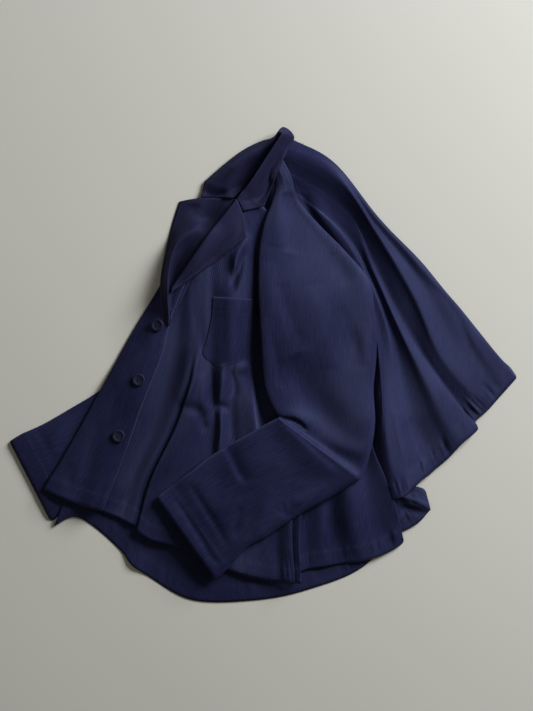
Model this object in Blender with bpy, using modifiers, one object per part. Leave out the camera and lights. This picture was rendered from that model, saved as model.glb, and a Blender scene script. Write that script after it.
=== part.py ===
"""A cotton swing jacket lying on its right side and back, the left sleeve bent across the body.

Millimetres in the tables, metres in the solids.  +Z is up from the surface it lies on, +Y is
towards the collar, the origin is on the surface under the middle of the garment.  Each panel is a
table with one row for each line drawn down the cloth from its top seam to its hem: a seam, a fold's
edge, the cloth turned in under that edge, a valley, a ridge.  A row holds (x, y, height) at a few
stations down the line, where the height is measured over the layers lying below.  A smooth surface
is passed through the rows, laid on the pile of layers under it, and given the cloth's thickness.
"""
import math

import bpy
import numpy as np
from mathutils import Vector
from mathutils.bvhtree import BVHTree

MM = 0.001
WALL = 1.2          # cloth with its seams and hems, thick enough to make
GAP = 0.35          # air between one layer and the next
CELL = 3.0          # cell of the height map that layers are laid on
SPREAD = 3          # cells by which a lower layer holds up the cloth around it
HALF_SPAN = 440.0   # half the side of the height map
LEFT_ROUNDING = 2.2    # a flattened sleeve turns over within this at its pressed left edge
RIGHT_ROUNDING = 6.0   # and within this at its softer right edge
BUTTON_RADIUS = 9.5
BUTTON_THICKNESS = 3.0
BUTTON_SIDES = 20

# BACK.  From the left side seam, over the folds that show, round the outer fold and back along the
# surface under the whole garment.  Stations: seam, yoke, high, middle, low, hem.
BACK = (
    ("side seam", (148, 112, 4), (132, 45, 4), (112, -25, 4), (80, -112, 4), (41, -222, 7), (43, -329, 6)),
    ("pleat top", (150, 113, 4), (136, 46, 4), (118, -25, 4), (88, -114, 5), (57, -226, 13), (56, -330, 12)),
    ("pleat under", (151, 114, 4), (139, 47, 4), (122, -26, 4), (91, -115, 5), (53, -226, 7), (50, -319, 6)),
    ("panel start", (152, 115, 4), (141, 48, 4), (126, -26, 4), (95, -116, 5), (64, -226, 4), (62, -311, 4)),
    ("panel left", (153, 116, 4), (144, 50, 4), (132, -26, 4), (110, -116, 6), (86, -222, 8), (88, -306, 6)),
    ("trough", (154, 117, 4), (147, 52, 4), (138, -26, 4), (118, -118, 5), (101, -218, 4), (118, -301, 4)),
    ("swell", (155, 118, 4), (150, 53, 4), (146, -27, 4), (138, -118, 6), (131, -208, 14), (147, -297, 11)),
    ("panel right", (156, 119, 4), (153, 55, 4), (154, -28, 4), (152, -117, 6), (166, -203, 11), (182, -286, 9)),
    ("panel fold", (156, 120, 4), (155, 56, 4), (158, -28, 4), (162, -116, 6), (196, -202, 8), (211, -267, 7)),
    ("panel under", (157, 120, 4), (156, 57, 4), (159, -28, 4), (163, -115, 5), (190, -200, 5), (203, -256, 4.2)),
    ("curl start", (157, 121, 4), (157, 58, 4), (160, -27, 4), (165, -114, 4), (196, -198, 4), (212, -251, 3.6)),
    ("curl middle", (158, 122, 4), (158, 60, 4), (161, -27, 4), (167, -112, 4), (200, -194, 4), (232, -240, 4)),
    ("curl corner", (158, 123, 4), (159, 61, 4), (162, -26, 4), (168, -111, 4), (199, -190, 8), (251, -219, 9)),
    ("curl back", (158, 123, 4), (160, 62, 4), (163, -26, 4), (169, -110, 4), (196, -182, 7), (247, -203, 7)),
    ("curl end", (158, 124, 4), (160, 63, 4), (163, -25, 4), (169, -109, 4), (192, -174, 5), (240, -187, 5)),
    ("gap floor", (155, 126, 4), (158, 72, 4), (162, -5, 4), (164, -90, 4), (174, -158, 4.5), (197, -200, 5)),
    ("first edge", (150, 128, 4), (159, 82, 5), (165, 28, 6), (166, -60, 8), (173, -137, 10), (191, -205, 9)),
    ("first ridge", (126, 144, 5), (155, 108, 6), (170, 38, 8), (173, -48, 15), (182, -130, 17), (203, -202, 14)),
    ("strip", (36, 256, 6), (104, 197, 8), (149, 130, 11), (180, 48, 12), (193, -60, 14), (221, -190, 12)),
    ("second edge", (33, 268, 6), (113, 200, 8.5), (157, 129, 11), (190, 52, 13), (210, -60, 11), (243, -171, 9)),
    ("second under", (32, 272, 6), (115, 201, 6), (159, 130, 7), (192, 53, 6), (213, -59, 8), (247, -169, 7.5)),
    ("second valley", (32, 277, 6.5), (119, 204, 5.5), (161, 132, 5), (197, 55, 5), (222, -56, 6.5), (258, -159, 6)),
    ("third rise", (29, 283, 7), (123, 209, 6), (163, 134, 7), (200, 56, 8), (238, -49, 10), (277, -143, 8)),
    ("third crest", (28, 288, 8), (126, 215, 6.5), (165, 137, 10), (204, 57, 13), (251, -40, 17), (297, -121, 14)),
    ("third edge", (27, 293, 9), (128, 222, 7), (168, 141, 9), (210, 60, 10), (264, -27, 11), (320, -96, 7)),
    ("third under", (27, 296, 9), (128, 225, 7), (168.5, 143, 7), (211, 62, 7), (266, -25, 7.5), (322, -94, 4.5)),
    ("third valley", (27, 300, 9.5), (127, 230, 7.5), (169, 148, 6.5), (212, 66, 6), (268, -21, 6.5), (325, -89, 4)),
    ("fourth slope", (28, 308, 11), (123, 243, 10), (170, 165, 10), (216, 82, 9.5), (271, -15, 10), (329, -83, 5)),
    ("fourth rise", (29, 314, 12), (118, 260, 14), (170, 182, 14.5), (220, 95, 14.5), (274, -8, 14.5), (333, -77, 8)),
    ("fourth ridge", (30, 320, 12), (112, 277, 16.5), (170, 196, 18), (224, 106, 18.5), (279, 2, 18), (338, -70, 11)),
    ("fourth fall", (31, 326, 11), (107, 291, 15), (170, 211, 12), (230, 130, 8.5), (294, 28, 8.5), (354, -51, 6)),
    ("outer strip", (35, 332, 7), (103, 301, 7), (170, 219, 6), (235, 146, 5), (306, 49, 5.5), (372, -31, 5.5)),
    ("outer fold", (44, 337, 3), (101, 307, 3), (170, 224, 3), (237, 153, 3), (313, 62, 3), (381, -21, 3)),
    ("floor, outer", (38, 333, 0), (93, 300, 0), (162, 218, 0), (229, 147, 0), (305, 57, 0), (372, -27, 0)),
    ("floor, third", (34, 330, 0), (72, 262, 0), (120, 160, 0), (170, 60, 0), (230, -30, 0), (300, -104, 0)),
    ("floor, second", (30, 328, 0), (50, 240, 0), (80, 120, 0), (120, 0, 0), (170, -110, 0), (205, -205, 0)),
    ("floor, panel", (26, 326, 0), (30, 222, 0), (45, 90, 0), (70, -50, 0), (110, -180, 0), (160, -297, 0)),
    ("floor, seam", (20, 324, 0), (8, 215, 0), (10, 75, 0), (20, -70, 0), (40, -210, 0), (62, -341, 0)),
    ("floor, middle", (14, 322, 0), (-14, 212, 0), (-25, 65, 0), (-25, -80, 0), (-22, -220, 0), (-18, -356, 0)),
    ("floor, flare", (8, 320, 0), (-34, 212, 0), (-60, 60, 0), (-75, -85, 0), (-90, -220, 0), (-112, -354, 0)),
    ("floor, step", (4, 319, 0), (-48, 213, 0), (-84, 62, 0), (-115, -80, 0), (-145, -205, 0), (-176, -318, 0)),
    ("floor, wave", (2, 318, 0), (-54, 214, 0), (-92, 66, 0), (-130, -72, 0), (-165, -185, 0), (-198, -303, 3)),
    ("floor, after", (0, 317, 0), (-58, 215, 0), (-100, 72, 0), (-145, -60, 0), (-188, -165, 0), (-215, -281, 0)),
    ("floor, end", (-4, 315, 0), (-64, 217, 0), (-112, 88, 0), (-172, -20, 0), (-232, -120, 0), (-286, -229, 0)),
)

# LEFT FRONT.  From the edge that buttons under the right front, over the folds, to the side seam.
# Stations: roll line or neck, chest, pocket, waist, low, hem.
FRONT_LEFT = (
    ("under edge", (-138, 100, 3), (-152, 76, 3), (-184, -10, 3), (-214, -90, 3), (-242, -163, 3), (-260, -214, 3)),
    ("button line", (-134, 108, 4), (-140, 74, 4), (-163, -5, 4), (-190, -88, 4), (-216, -165, 4), (-238, -224, 4)),
    ("strip", (-122, 126, 6), (-122, 84, 7), (-132, 8, 8), (-160, -84, 9), (-194, -168, 9), (-216, -233, 7)),
    ("strip slope", (-108, 146, 7), (-114, 94, 7), (-109, 22, 7), (-135, -80, 5), (-180, -178, 4), (-198, -242, 4)),
    ("first under", (-104, 152, 7), (-110, 97, 7), (-101, 25, 6), (-122, -77, 4), (-165, -175, 3.6), (-182, -247, 3.6)),
    ("first edge", (-100, 157, 8), (-106, 98, 7.5), (-99, 27, 8), (-126, -80, 13), (-171, -178, 14), (-190, -250, 11)),
    ("first ridge", (-94, 166, 9), (-99, 100, 8), (-93, 22, 9), (-114, -84, 16), (-154, -186, 17), (-170, -265, 12)),
    ("second ridge", (-86, 177, 9), (-88, 102, 8), (-86, 14, 9), (-92, -72, 13), (-120, -182, 12), (-140, -273, 9)),
    ("second valley", (-77, 190, 8), (-76, 104, 7), (-77, 7, 8), (-77, -80, 6), (-86, -172, 6), (-112, -283, 5)),
    ("third ridge", (-66, 206, 8), (-60, 105, 8), (-65, 5, 10), (-64, -76, 13), (-62, -172, 10), (-80, -298, 7)),
    ("third slope", (-56, 220, 8), (-46, 106, 14), (-54, 5, 13), (-50, -82, 9), (-44, -174, 7), (-46, -314, 5)),
    ("fourth ridge", (-44, 238, 9), (-32, 106, 18), (-41, 5, 16), (-31, -85, 8), (-26, -176, 7), (-22, -321, 6)),
    ("gap edge", (-30, 247, 9), (-16, 104, 16), (-22, 4, 13), (-13, -86, 11), (-8, -178, 7), (6, -326, 6)),
    ("gap floor", (-6, 240, 7), (-7, 101, 5), (-7, 3, 4), (-5, -88, 4), (8, -180, 5), (22, -328, 6)),
    ("below sleeve", (30, 205, 5), (34, 94, 4), (32, -2, 4), (22, -96, 4), (24, -196, 5), (34, -330, 6)),
    ("under sleeve", (90, 165, 4), (86, 70, 4), (74, -12, 4), (52, -104, 4), (36, -210, 4), (42, -331, 3)),
    ("side seam", (140, 122, 2), (136, 43, 2), (116, -27, 2), (84, -114, 2), (45, -223, 2), (47, -330, 2)),
)

# RIGHT FRONT.  From the side seam hidden underneath, round the outer fold, to the buttoned edge.
# Stations: under the lapel, break, chest, waist, low, hem.
FRONT_RIGHT = (
    ("hidden side", (-84, 200, 0), (-116, 110, 0), (-158, 28, 0), (-200, -58, 0), (-246, -136, 0), (-286, -206, 0)),
    ("hidden turn", (-96, 205, 0), (-144, 109, 0), (-182, 36, 0), (-228, -46, 0), (-274, -128, 0), (-316, -198, 0)),
    ("outer fold", (-103, 209, 3), (-161, 109, 3), (-200, 43, 3), (-246, -41, 3), (-288, -117, 3), (-331, -189, 3)),
    ("face", (-98, 205, 6), (-154, 106, 6), (-192, 39, 6), (-236, -45, 6), (-277, -122, 6), (-320, -194, 6)),
    ("face middle", (-92, 198, 7), (-143, 95, 8), (-178, 20, 8), (-212, -60, 8), (-250, -138, 8), (-286, -208, 7)),
    ("stitch line", (-88, 192, 7), (-139, 82, 6), (-160, 8, 4), (-190, -68, 4), (-222, -150, 4), (-251, -218, 4)),
    ("front edge", (-86, 188, 6), (-137, 70, 3), (-151, 16, 2), (-179, -56, 2), (-211, -146, 2), (-241, -221, 2)),
)

# RIGHT LAPEL, turned out.  From its outer edge over the roll line and down into the neck opening.
# Stations: gorge, four down the lapel, break.
FACING_RIGHT = (
    ("outer edge", (-127, 244, 2), (-136, 216, 2), (-146, 178, 2), (-155, 128, 2), (-154, 95, 2), (-144, 58, 2)),
    ("lapel", (-111, 247, 5), (-121, 215, 6), (-138, 180, 9), (-148, 134, 8), (-148, 96, 5), (-142, 57, 2)),
    ("roll line", (-92, 249, 7), (-108, 205, 11), (-132, 176, 16), (-142, 138, 15), (-143, 97, 9), (-141, 56, 2)),
    ("inside", (-70, 249, 6), (-92, 205, 6), (-119, 168, 6), (-136, 134, 4), (-139, 99, 4), (-139, 60, 2)),
    ("inner end", (-43, 247, 5), (-66, 213, 3), (-92, 175, 3), (-119, 139, 3), (-133, 110, 3), (-140, 66, 2)),
)

# LEFT LAPEL, turned out.  From the roll line to the outer edge.
# Stations: gorge and notch, four down the lapel, break.
FACING_LEFT = (
    ("roll line", (-40, 247, 8), (-60, 221, 12), (-78, 198, 14), (-99, 168, 13), (-120, 138, 10), (-138, 112, 3)),
    ("inner", (-36, 238, 8), (-52, 210, 11), (-70, 188, 12), (-93, 158, 11), (-118, 131, 8), (-138, 109, 3)),
    ("outer", (-32, 228, 7), (-43, 195, 8), (-62, 174, 8), (-88, 147, 7), (-117, 124, 5), (-138, 107, 3)),
    ("outer edge", (-25, 189, 4), (-41, 177, 4), (-62, 160, 4), (-88, 141, 4), (-117, 120, 3), (-139, 105, 2)),
)

# COLLAR.  One row for each section across it, from the right front end round the back of the neck
# to the left front end.  Stations: neck seam, roll line, middle of the fall, outer edge.
COLLAR = (
    ("right gorge", (-46, 248.3, 3), (-64, 249.9, 8), (-79, 250, 7), (-94, 249.9, 4)),
    ("right corner", (-38, 256, 2), (-58, 262, 11), (-74, 268, 9), (-89, 274, 4)),
    ("right side", (-25, 272, 2), (-44, 286, 14), (-51, 296, 11), (-56, 303, 4)),
    ("right neck", (-5, 294, 2), (-20, 308, 15), (-24, 317, 11), (-27, 324, 4)),
    ("right back", (8, 311, 3), (1, 322, 17), (-1, 330, 12), (-1, 336, 5)),
    ("back, right", (19, 324, 4), (14, 333, 22), (14, 337, 17), (14, 340, 8)),
    ("back", (27, 330, 5), (22, 345, 27), (25, 350, 22), (30, 355.5, 12)),
    ("back, left", (33, 326, 7), (26, 344, 28), (36, 344, 23), (46.5, 341, 11)),
    ("left back", (33, 313, 8), (17, 328, 28), (27, 326, 23), (40, 325, 11)),
    ("left neck", (25, 299, 8), (5, 310, 27), (17, 308, 22), (29.5, 304, 10)),
    ("left side", (12, 278, 7), (-9, 288, 26), (5, 284, 20), (18, 278, 9)),
    ("left front", (-8, 257, 7), (-25, 265, 24), (-8, 260, 17), (8, 255, 9)),
    ("left corner", (-18, 249, 8), (-34, 255, 22), (-18, 245, 15), (0.5, 235.5, 8)),
    ("left gorge", (-27, 243, 8), (-39.2, 247.4, 19), (-35.2, 238.4, 15), (-31.2, 228.4, 9)),
)

COLLAR_STEPS = 3      # points from one station of the collar to the next
COLLAR_REACH = 18.0   # length over which its ends come level with the lapels

# SLEEVES.  One row for each section across the flattened tube.  Columns: name, left end (x, y),
# right end (x, y), heights of the upper side at the left end, three places between and the right
# end, and how far the lower side slips out past the right end (x, y).
SLEEVE_RIGHT = (
    ("cuff", (-382, -117), (-322, -234), (3.5, 6, 6, 6, 3.5), (8, -9)),
    ("hem stitch", (-364, -106), (-303, -224), (3.5, 6, 6, 6, 3.5), (4, -4)),
    ("wrist", (-330, -90), (-275, -210), (3.5, 7, 6, 6, 3.5), (0, 0)),
    ("forearm", (-290, -67), (-240, -190), (3.5, 6, 6, 6, 3.5), (0, 0)),
    ("below elbow", (-246, -40), (-195, -165), (3.5, 5, 5, 5, 3.5), (0, 0)),
    ("elbow", (-212, 5), (-120, -105), (3.5, 5, 5, 5, 3.5), (0, 0)),
    ("above elbow", (-178, 62), (-70, -20), (3.5, 5, 5, 5, 3.5), (0, 0)),
    ("upper arm", (-140, 130), (-30, 80), (3.5, 5, 5, 5, 3.5), (0, 0)),
    ("shoulder", (-105, 195), (-8, 165), (3.5, 5, 5, 5, 3.5), (0, 0)),
    ("neck end", (-70, 245), (-2, 232), (3.5, 5, 5, 5, 3.5), (0, 0)),
)
SLEEVE_LEFT = (
    ("neck end", (8, 293), (28, 307), (10, 11, 11, 10, 9), (0, 0)),
    ("collar edge", (17, 268), (42, 281), (12, 13, 12, 11, 9), (0, 0)),
    ("shoulder", (11, 243), (53, 245), (13, 16, 14, 12, 9), (0, 0)),
    ("upper seam", (0, 208), (82, 210), (17, 20, 18, 14, 9), (0, 0)),
    ("lower seam", (-7, 170), (122, 170), (20, 23, 21, 17, 10), (0, 0)),
    ("underarm", (-8, 120), (158, 124), (22, 25, 23, 19, 11), (0, 0)),
    ("upper arm", (-6, 65), (168, 66), (22, 25, 23, 19, 12), (0, 0)),
    ("middle arm", (-3, 15), (169, 14), (21, 24, 22, 20, 12), (0, 0)),
    ("above elbow", (1, -30), (165, -40), (20, 23, 21, 21, 12), (0, 0)),
    ("elbow top", (9, -56), (167, -88), (20, 23, 22, 22, 12), (0, 0)),
    ("tuck", (18, -72), (162, -125), (19, 22, 24, 21, 12), (0, 0)),
    ("elbow dip", (23, -79), (151, -163), (19, 22, 22, 19, 12), (0, 0)),
    ("elbow corner", (22, -81), (145, -173), (24, 27, 29, 26, 16), (0, 0)),
    ("below elbow", (18, -83), (124, -186), (25, 28, 30, 27, 16), (0, 0)),
    ("inner elbow", (4, -90), (98, -202), (25, 28, 29, 26, 16), (0, 0)),
    ("forearm", (-28, -107), (62, -221), (26, 29, 30, 26, 16), (0, 0)),
    ("seam pucker", (-58, -125), (30, -242), (26, 29, 30, 25, 16), (0, 0)),
    ("middle", (-86, -143), (2, -261), (24, 27, 28, 25, 16), (0, 0)),
    ("wrist", (-112, -163), (-24, -275), (24, 27, 28, 25, 16), (0, 0)),
    ("hem stitch", (-137, -182), (-50, -304), (20, 23, 24, 22, 15), (0, 0)),
    ("cuff", (-160, -200), (-72, -324), (18, 21, 22, 20, 14), (0, 0)),
)

# POCKET.  Sections from the opening down to the point: left end and right end (x, y).
POCKET = (
    ("opening", (-76, 101), (-15, 98)),
    ("hem stitch", (-78, 74), (-21, 70)),
    ("middle", (-85, 38), (-27, 34)),
    ("corners", (-91, 14), (-33, 5)),
    ("point", (-68, -5), (-62, -5)),
)

# BUTTONS: name, centre (x, y).  BUTTON_RINGS: radius as a share of the whole, height as a share.
BUTTONS = (
    ("button_1", (-159.5, 58.0)),
    ("button_2", (-187.0, -24.0)),
    ("button_3", (-217.0, -108.0)),
)
BUTTON_RINGS = ((0.0, 0.6), (0.55, 0.6), (0.66, 0.95), (0.86, 1.0), (1.0, 0.6), (0.95, 0.0), (0.0, 0.0))

# Colour of each piece, linear, all the same navy drill; the buttons are a shade browner.
CLOTH_COLOUR = (0.021, 0.023, 0.066, 1.0)
BUTTON_COLOUR = (0.030, 0.028, 0.058, 1.0)


def through(points, steps, corners=()):
    """A smooth line through the points on the first axis, turning sharply at the corners.

    steps holds the number of pieces between each point and the next.
    """
    for corner in corners:
        before = through(points[: corner + 1], steps[:corner], [c for c in corners if c < corner])
        after = through(points[corner:], steps[corner:], [c - corner for c in corners if c > corner])
        return np.concatenate([before[:-1], after])
    first = 2 * points[0] - points[1]
    last = 2 * points[-1] - points[-2]
    p = np.concatenate([first[None], points, last[None]])
    gap = np.sqrt(np.linalg.norm(p[1:] - p[:-1], axis=-1, keepdims=True)) + 1e-3
    run = []
    for i in range(len(points) - 1):
        p0, p1, p2, p3 = p[i], p[i + 1], p[i + 2], p[i + 3]
        a, b, c = gap[i], gap[i + 1], gap[i + 2]
        start = b * ((p1 - p0) / a - (p2 - p0) / (a + b) + (p2 - p1) / b)
        end = b * ((p2 - p1) / b - (p3 - p1) / (b + c) + (p3 - p2) / c)
        t = (np.arange(steps[i]) / steps[i]).reshape((-1,) + (1,) * p1.ndim)
        run.append(
            (2 * t**3 - 3 * t**2 + 1) * p1
            + (t**3 - 2 * t**2 + t) * start
            + (3 * t**2 - 2 * t**3) * p2
            + (t**3 - t**2) * end
        )
    run.append(points[-1][None])
    return np.concatenate(run)


def panel(rows, pitch, along, flat_pitch=60.0):
    """The surface of a panel, (line, station, xyz), from its table of lines down the cloth.

    Lines are pitch apart, or flat_pitch where they lie on the surface.  The cloth turns sharply at
    the rows called corners.
    """
    lines = np.array([row[1:] for row in rows], float)
    lines = through(lines.transpose(1, 0, 2), [along] * (lines.shape[1] - 1)).transpose(1, 0, 2)
    widest = np.linalg.norm(lines[1:, :, :2] - lines[:-1, :, :2], axis=-1).max(axis=1)
    high = lines[..., 2].max(axis=1)
    flat = np.maximum(high[1:], high[:-1]) < 0.5
    steps = np.ceil(widest / np.where(flat, flat_pitch, pitch)).astype(int)
    corners = [i for i, row in enumerate(rows) if "corner" in row[0] and 0 < i < len(rows) - 1]
    return through(lines, steps, corners)


def tube(rows, pitch, upper_steps, flat):
    """The surface of a flattened sleeve, (section, place round it, xyz), closed round the tube.

    The lower side of a flat one lies on the surface; otherwise it follows the upper side.
    """
    inner = 2 * WALL + 2.0
    sections = []
    for name, left, right, heights, slip in rows:
        left, right, slip = np.array(left, float), np.array(right, float), np.array(slip, float)
        width = right - left
        length = np.linalg.norm(width)
        places = np.array([0.0, LEFT_ROUNDING / length, 0.22, 0.5, 0.78, 1 - RIGHT_ROUNDING / length, 1.0])
        share = np.array([0.0, 0.8, 1, 1, 1, 0.8, 0.0])
        middle = np.array([heights[1], heights[1], heights[1], heights[2], heights[3], heights[3], heights[3]])
        ends = np.array([heights[0]] * 3 + [heights[2]] + [heights[4]] * 3)
        high = ends + (middle - ends) * share
        upper = np.column_stack([left + places[:, None] * width, high])
        low = places[1:-1][::-1]
        height_low = np.zeros(len(low)) if flat else high[1:-1][::-1] - inner
        moved = np.clip((low - 0.5) * 2, 0, 1)[:, None] * slip
        lower = np.column_stack([left + low[:, None] * width + moved, height_low])
        sections.append(np.concatenate([upper, lower]))
    sections = np.array(sections)
    step = np.linalg.norm(sections[1:, :, :2] - sections[:-1, :, :2], axis=-1).max(axis=1)
    corners = [i for i, row in enumerate(rows) if "corner" in row[0]]
    sections = through(sections, np.ceil(step / pitch).astype(int), corners)
    loop = sections.transpose(1, 0, 2)
    loop = np.concatenate([loop, loop[:1]])
    steps = [upper_steps] * 6 + [1] * 6
    return through(loop, steps)[:-1].transpose(1, 0, 2)


class Pile:
    """Height of the highest cloth so far over each cell of the surface the garment lies on."""

    def __init__(self):
        cells = int(2 * HALF_SPAN / CELL)
        self.top = np.zeros((cells, cells))
        self.laid = []

    def copy(self):
        """The pile as it is now."""
        other = Pile()
        other.top = self.top.copy()
        other.laid = list(self.laid)
        return other

    def cells(self, points):
        """The cell under each point."""
        index = ((points[..., :2] + HALF_SPAN) / CELL).astype(int)
        return index[..., 0], index[..., 1]

    def add(self, corners):
        """Record triangles, (n, corner, xyz), each filled with points closer than a cell."""
        self.laid.append(corners)
        np.maximum.at(self.top, self.cells(fill(corners)), fill(corners)[..., 2])

    def clearance(self, spots):
        """Smallest height of the spots over the solids laid so far."""
        corners = np.concatenate(self.laid)
        number = np.arange(len(corners) * 3).reshape(-1, 3)
        tree = BVHTree.FromPolygons(corners.reshape(-1, 3).tolist(), number.tolist())
        down = Vector((0.0, 0.0, -1.0))
        heights = [tree.ray_cast(Vector(spot), down)[3] for spot in spots.reshape(-1, 3).tolist()]
        return min(height for height in heights if height is not None)

    def widened(self, reach):
        """The map with each cell raised to the highest of its neighbours within reach."""
        wide = self.top.copy()
        for shift in ring(reach):
            wide = np.maximum(wide, np.roll(self.top, shift, axis=(0, 1)))
        return wide

    def under(self, x, y, reach=SPREAD):
        """Height that cloth at x, y has to clear, nothing at all where it lies on the surface."""
        wide = self.widened(reach)
        near = ring(reach)
        even = sum(np.roll(wide, shift, axis=(0, 1)) for shift in near) / len(near)
        fx = (x + HALF_SPAN) / CELL - 0.5
        fy = (y + HALF_SPAN) / CELL - 0.5
        ix = fx.astype(int)
        iy = fy.astype(int)
        fx = fx - ix
        fy = fy - iy
        height = (
            even[ix, iy] * (1 - fx) * (1 - fy)
            + even[ix + 1, iy] * fx * (1 - fy)
            + even[ix, iy + 1] * (1 - fx) * fy
            + even[ix + 1, iy + 1] * fx * fy
        )
        return np.where(height > 0.01, height + GAP, 0.0)


def ring(reach):
    """The cells within reach of one, as shifts."""
    around = range(-reach, reach + 1)
    return [(i, j) for i in around for j in around if i * i + j * j <= reach * reach + 1]


def fill(corners):
    """Points spread over triangles, (n, point, xyz), closer together than a cell of the map."""
    sides = np.linalg.norm(corners - np.roll(corners, 1, axis=1), axis=-1)
    count = int(np.ceil(sides.max() / (0.7 * CELL))) + 1
    share = np.linspace(0, 1, count)
    pairs = np.array([(u, v) for u in share for v in share if u + v <= 1.0001])
    weights = np.column_stack([1 - pairs.sum(axis=1), pairs])
    return np.einsum("pc,ncx->npx", weights, corners)


def built_triangles(thing):
    """Corners of the finished solid in millimetres, (n, corner, xyz), and their vertex numbers."""
    whole = thing.evaluated_get(bpy.context.evaluated_depsgraph_get()).to_mesh()
    whole.calc_loop_triangles()
    points = np.empty(len(whole.vertices) * 3)
    whole.vertices.foreach_get("co", points)
    index = np.empty(len(whole.loop_triangles) * 3, dtype=np.int32)
    whole.loop_triangles.foreach_get("vertices", index)
    thing.to_mesh_clear()
    index = index.reshape(-1, 3)
    return points.reshape(-1, 3)[index] / MM, index


def rest(thing, pile, seated):
    """Raise a solid's cloth where it would touch what lies under it, then put it on the pile.

    A seated one is then lowered until it is a gap above the cloth it is sewn to.
    """
    count = len(thing.data.vertices)
    held = pile.widened(1)
    points = np.empty(count * 3)
    for _ in range(8):
        corners, index = built_triangles(thing)
        spots = fill(corners)
        floor = held[pile.cells(spots)]
        short = np.where(floor > 0.01, floor + 0.6 * GAP, 0.0) - spots[..., 2]
        short = short.max(axis=1)
        if short.max() < 0.01:
            break
        lift = np.zeros(count)
        for corner in range(3):
            np.maximum.at(lift, index[:, corner] % count, short)
        thing.data.vertices.foreach_get("co", points)
        points[2::3] += np.maximum(lift, 0.0) * MM
        thing.data.vertices.foreach_set("co", points)
        thing.data.update()
    if seated:
        drop = pile.clearance(fill(built_triangles(thing)[0])) - GAP
        thing.data.vertices.foreach_get("co", points)
        points[2::3] = np.minimum(points[2::3], np.maximum(points[2::3] - drop * MM, (WALL + 0.1) * MM))
        thing.data.vertices.foreach_set("co", points)
        thing.data.update()
    pile.add(built_triangles(thing)[0])


def lay(grid, pile):
    """A panel raised over all that lies under it, its own folds keeping their distances."""
    laid = grid.copy()
    laid[..., 2] += pile.under(grid[..., 0], grid[..., 1])
    return laid


def settle_tube(grid, pile, right_end):
    """A sleeve left at its own height, but tilted and lifted, both sides alike, where it would cut in.

    Each section is lifted by one amount at its left end, one in the middle and one at its right end.
    """
    left, right = grid[:, :1, :2], grid[:, right_end : right_end + 1, :2]
    width = right - left
    share = ((grid[..., :2] - left) * width).sum(axis=-1) / (width * width).sum(axis=-1)
    share = np.clip(share, 0.0, 1.0)
    need = np.maximum(pile.under(grid[..., 0], grid[..., 1]) + 0.3 - grid[..., 2], 0.0)
    lift = np.array([np.where(abs(share - place) < 0.34, need, 0.0).max(axis=1) for place in (0, 0.5, 1)])
    padded = np.concatenate([lift[:, :1], lift, lift[:, -1:]], axis=1)
    wide = np.max([padded[:, k : k + lift.shape[1]] for k in range(3)], axis=0)
    padded = np.concatenate([wide[:, :1], wide, wide[:, -1:]], axis=1)
    even = (padded[:, :-2] + padded[:, 1:-1] + padded[:, 2:]) / 3
    near = np.clip(1 - 2 * share, 0, 1)
    far = np.clip(2 * share - 1, 0, 1)
    laid = grid.copy()
    laid[..., 2] += near * even[0][:, None] + (1 - near - far) * even[1][:, None] + far * even[2][:, None]
    return laid


def settle(grid, pile, depth):
    """A piece left at its own height, but lifted where that would cut into what is under it."""
    laid = grid.copy()
    need = pile.under(grid[..., 0], grid[..., 1]) + depth
    over = laid[..., 2] - need
    laid[..., 2] = need + 0.5 * (over + np.sqrt(over * over + 1.0))
    return laid


def points_of(thing, shape):
    """A solid's cloth as a grid of points in millimetres."""
    points = np.empty(shape[0] * shape[1] * 3)
    thing.data.vertices.foreach_get("co", points)
    return points.reshape(shape[0], shape[1], 3) / MM


def level_ends(thing, shape, first_edge, last_edge, roll, reach):
    """Bring a collar's two ends level with the tops of the lapels they are sewn to.

    Over the last stretch to each end, reach long, the height goes over by a smooth step to that of
    the nearest point of the lapel's top edge.  From the roll line down to the neck seam, stations
    roll to 0, the change dies away.
    """
    laid = points_of(thing, shape)
    steps = np.linalg.norm(np.diff(laid, axis=0), axis=-1)
    run = np.concatenate([np.zeros((1, shape[1])), steps.cumsum(axis=0)])
    fall = np.clip(np.arange(shape[1]) / roll, 0, 1)
    for row, top, distance in ((0, first_edge, run), (-1, last_edge, run[-1:] - run)):
        away = np.linalg.norm(laid[row][:, None, :2] - top[None, :, :2], axis=-1)
        change = (top[away.argmin(axis=1), 2] - laid[row][:, 2])
        change = np.where(np.arange(shape[1]) < roll, change[roll], change) * fall
        share = np.clip(1 - distance / reach, 0, 1)
        laid[..., 2] += share * share * (3 - 2 * share) * change
    thing.data.vertices.foreach_set("co", (laid * MM).ravel())
    thing.data.update()


def cloth_material(name, colour, roughness):
    material = bpy.data.materials.new(name)
    material.use_nodes = True
    shader = material.node_tree.nodes["Principled BSDF"]
    shader.inputs["Base Color"].default_value = colour
    shader.inputs["Roughness"].default_value = roughness
    shader.inputs["Metallic"].default_value = 0.0
    return material


def sheet_object(name, grid, material, pile, closed=False, side=-1, seated=False):
    """Cloth from its outer surface: a grid of triangles, thickened inwards by Solidify."""
    across, down, _ = grid.shape
    number = np.arange(across * down).reshape(across, down)
    if closed:
        number = np.concatenate([number, number[:, :1]], axis=1)
    a, b, c, d = number[:-1, :-1], number[1:, :-1], number[1:, 1:], number[:-1, 1:]
    halves = [np.stack([a, b, c][::side], axis=-1), np.stack([a, c, d][::side], axis=-1)]
    triangles = np.concatenate([half.reshape(-1, 3) for half in halves])
    mesh = bpy.data.meshes.new(name)
    mesh.from_pydata((grid.reshape(-1, 3) * MM).tolist(), [], triangles.tolist())
    mesh.materials.append(material)
    mesh.shade_smooth()
    thing = bpy.data.objects.new(name, mesh)
    jacket.objects.link(thing)
    shell = thing.modifiers.new("cloth", "SOLIDIFY")
    shell.thickness = WALL * MM
    shell.offset = -1.0
    shell.use_rim = True
    rest(thing, pile, seated)
    return thing


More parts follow.
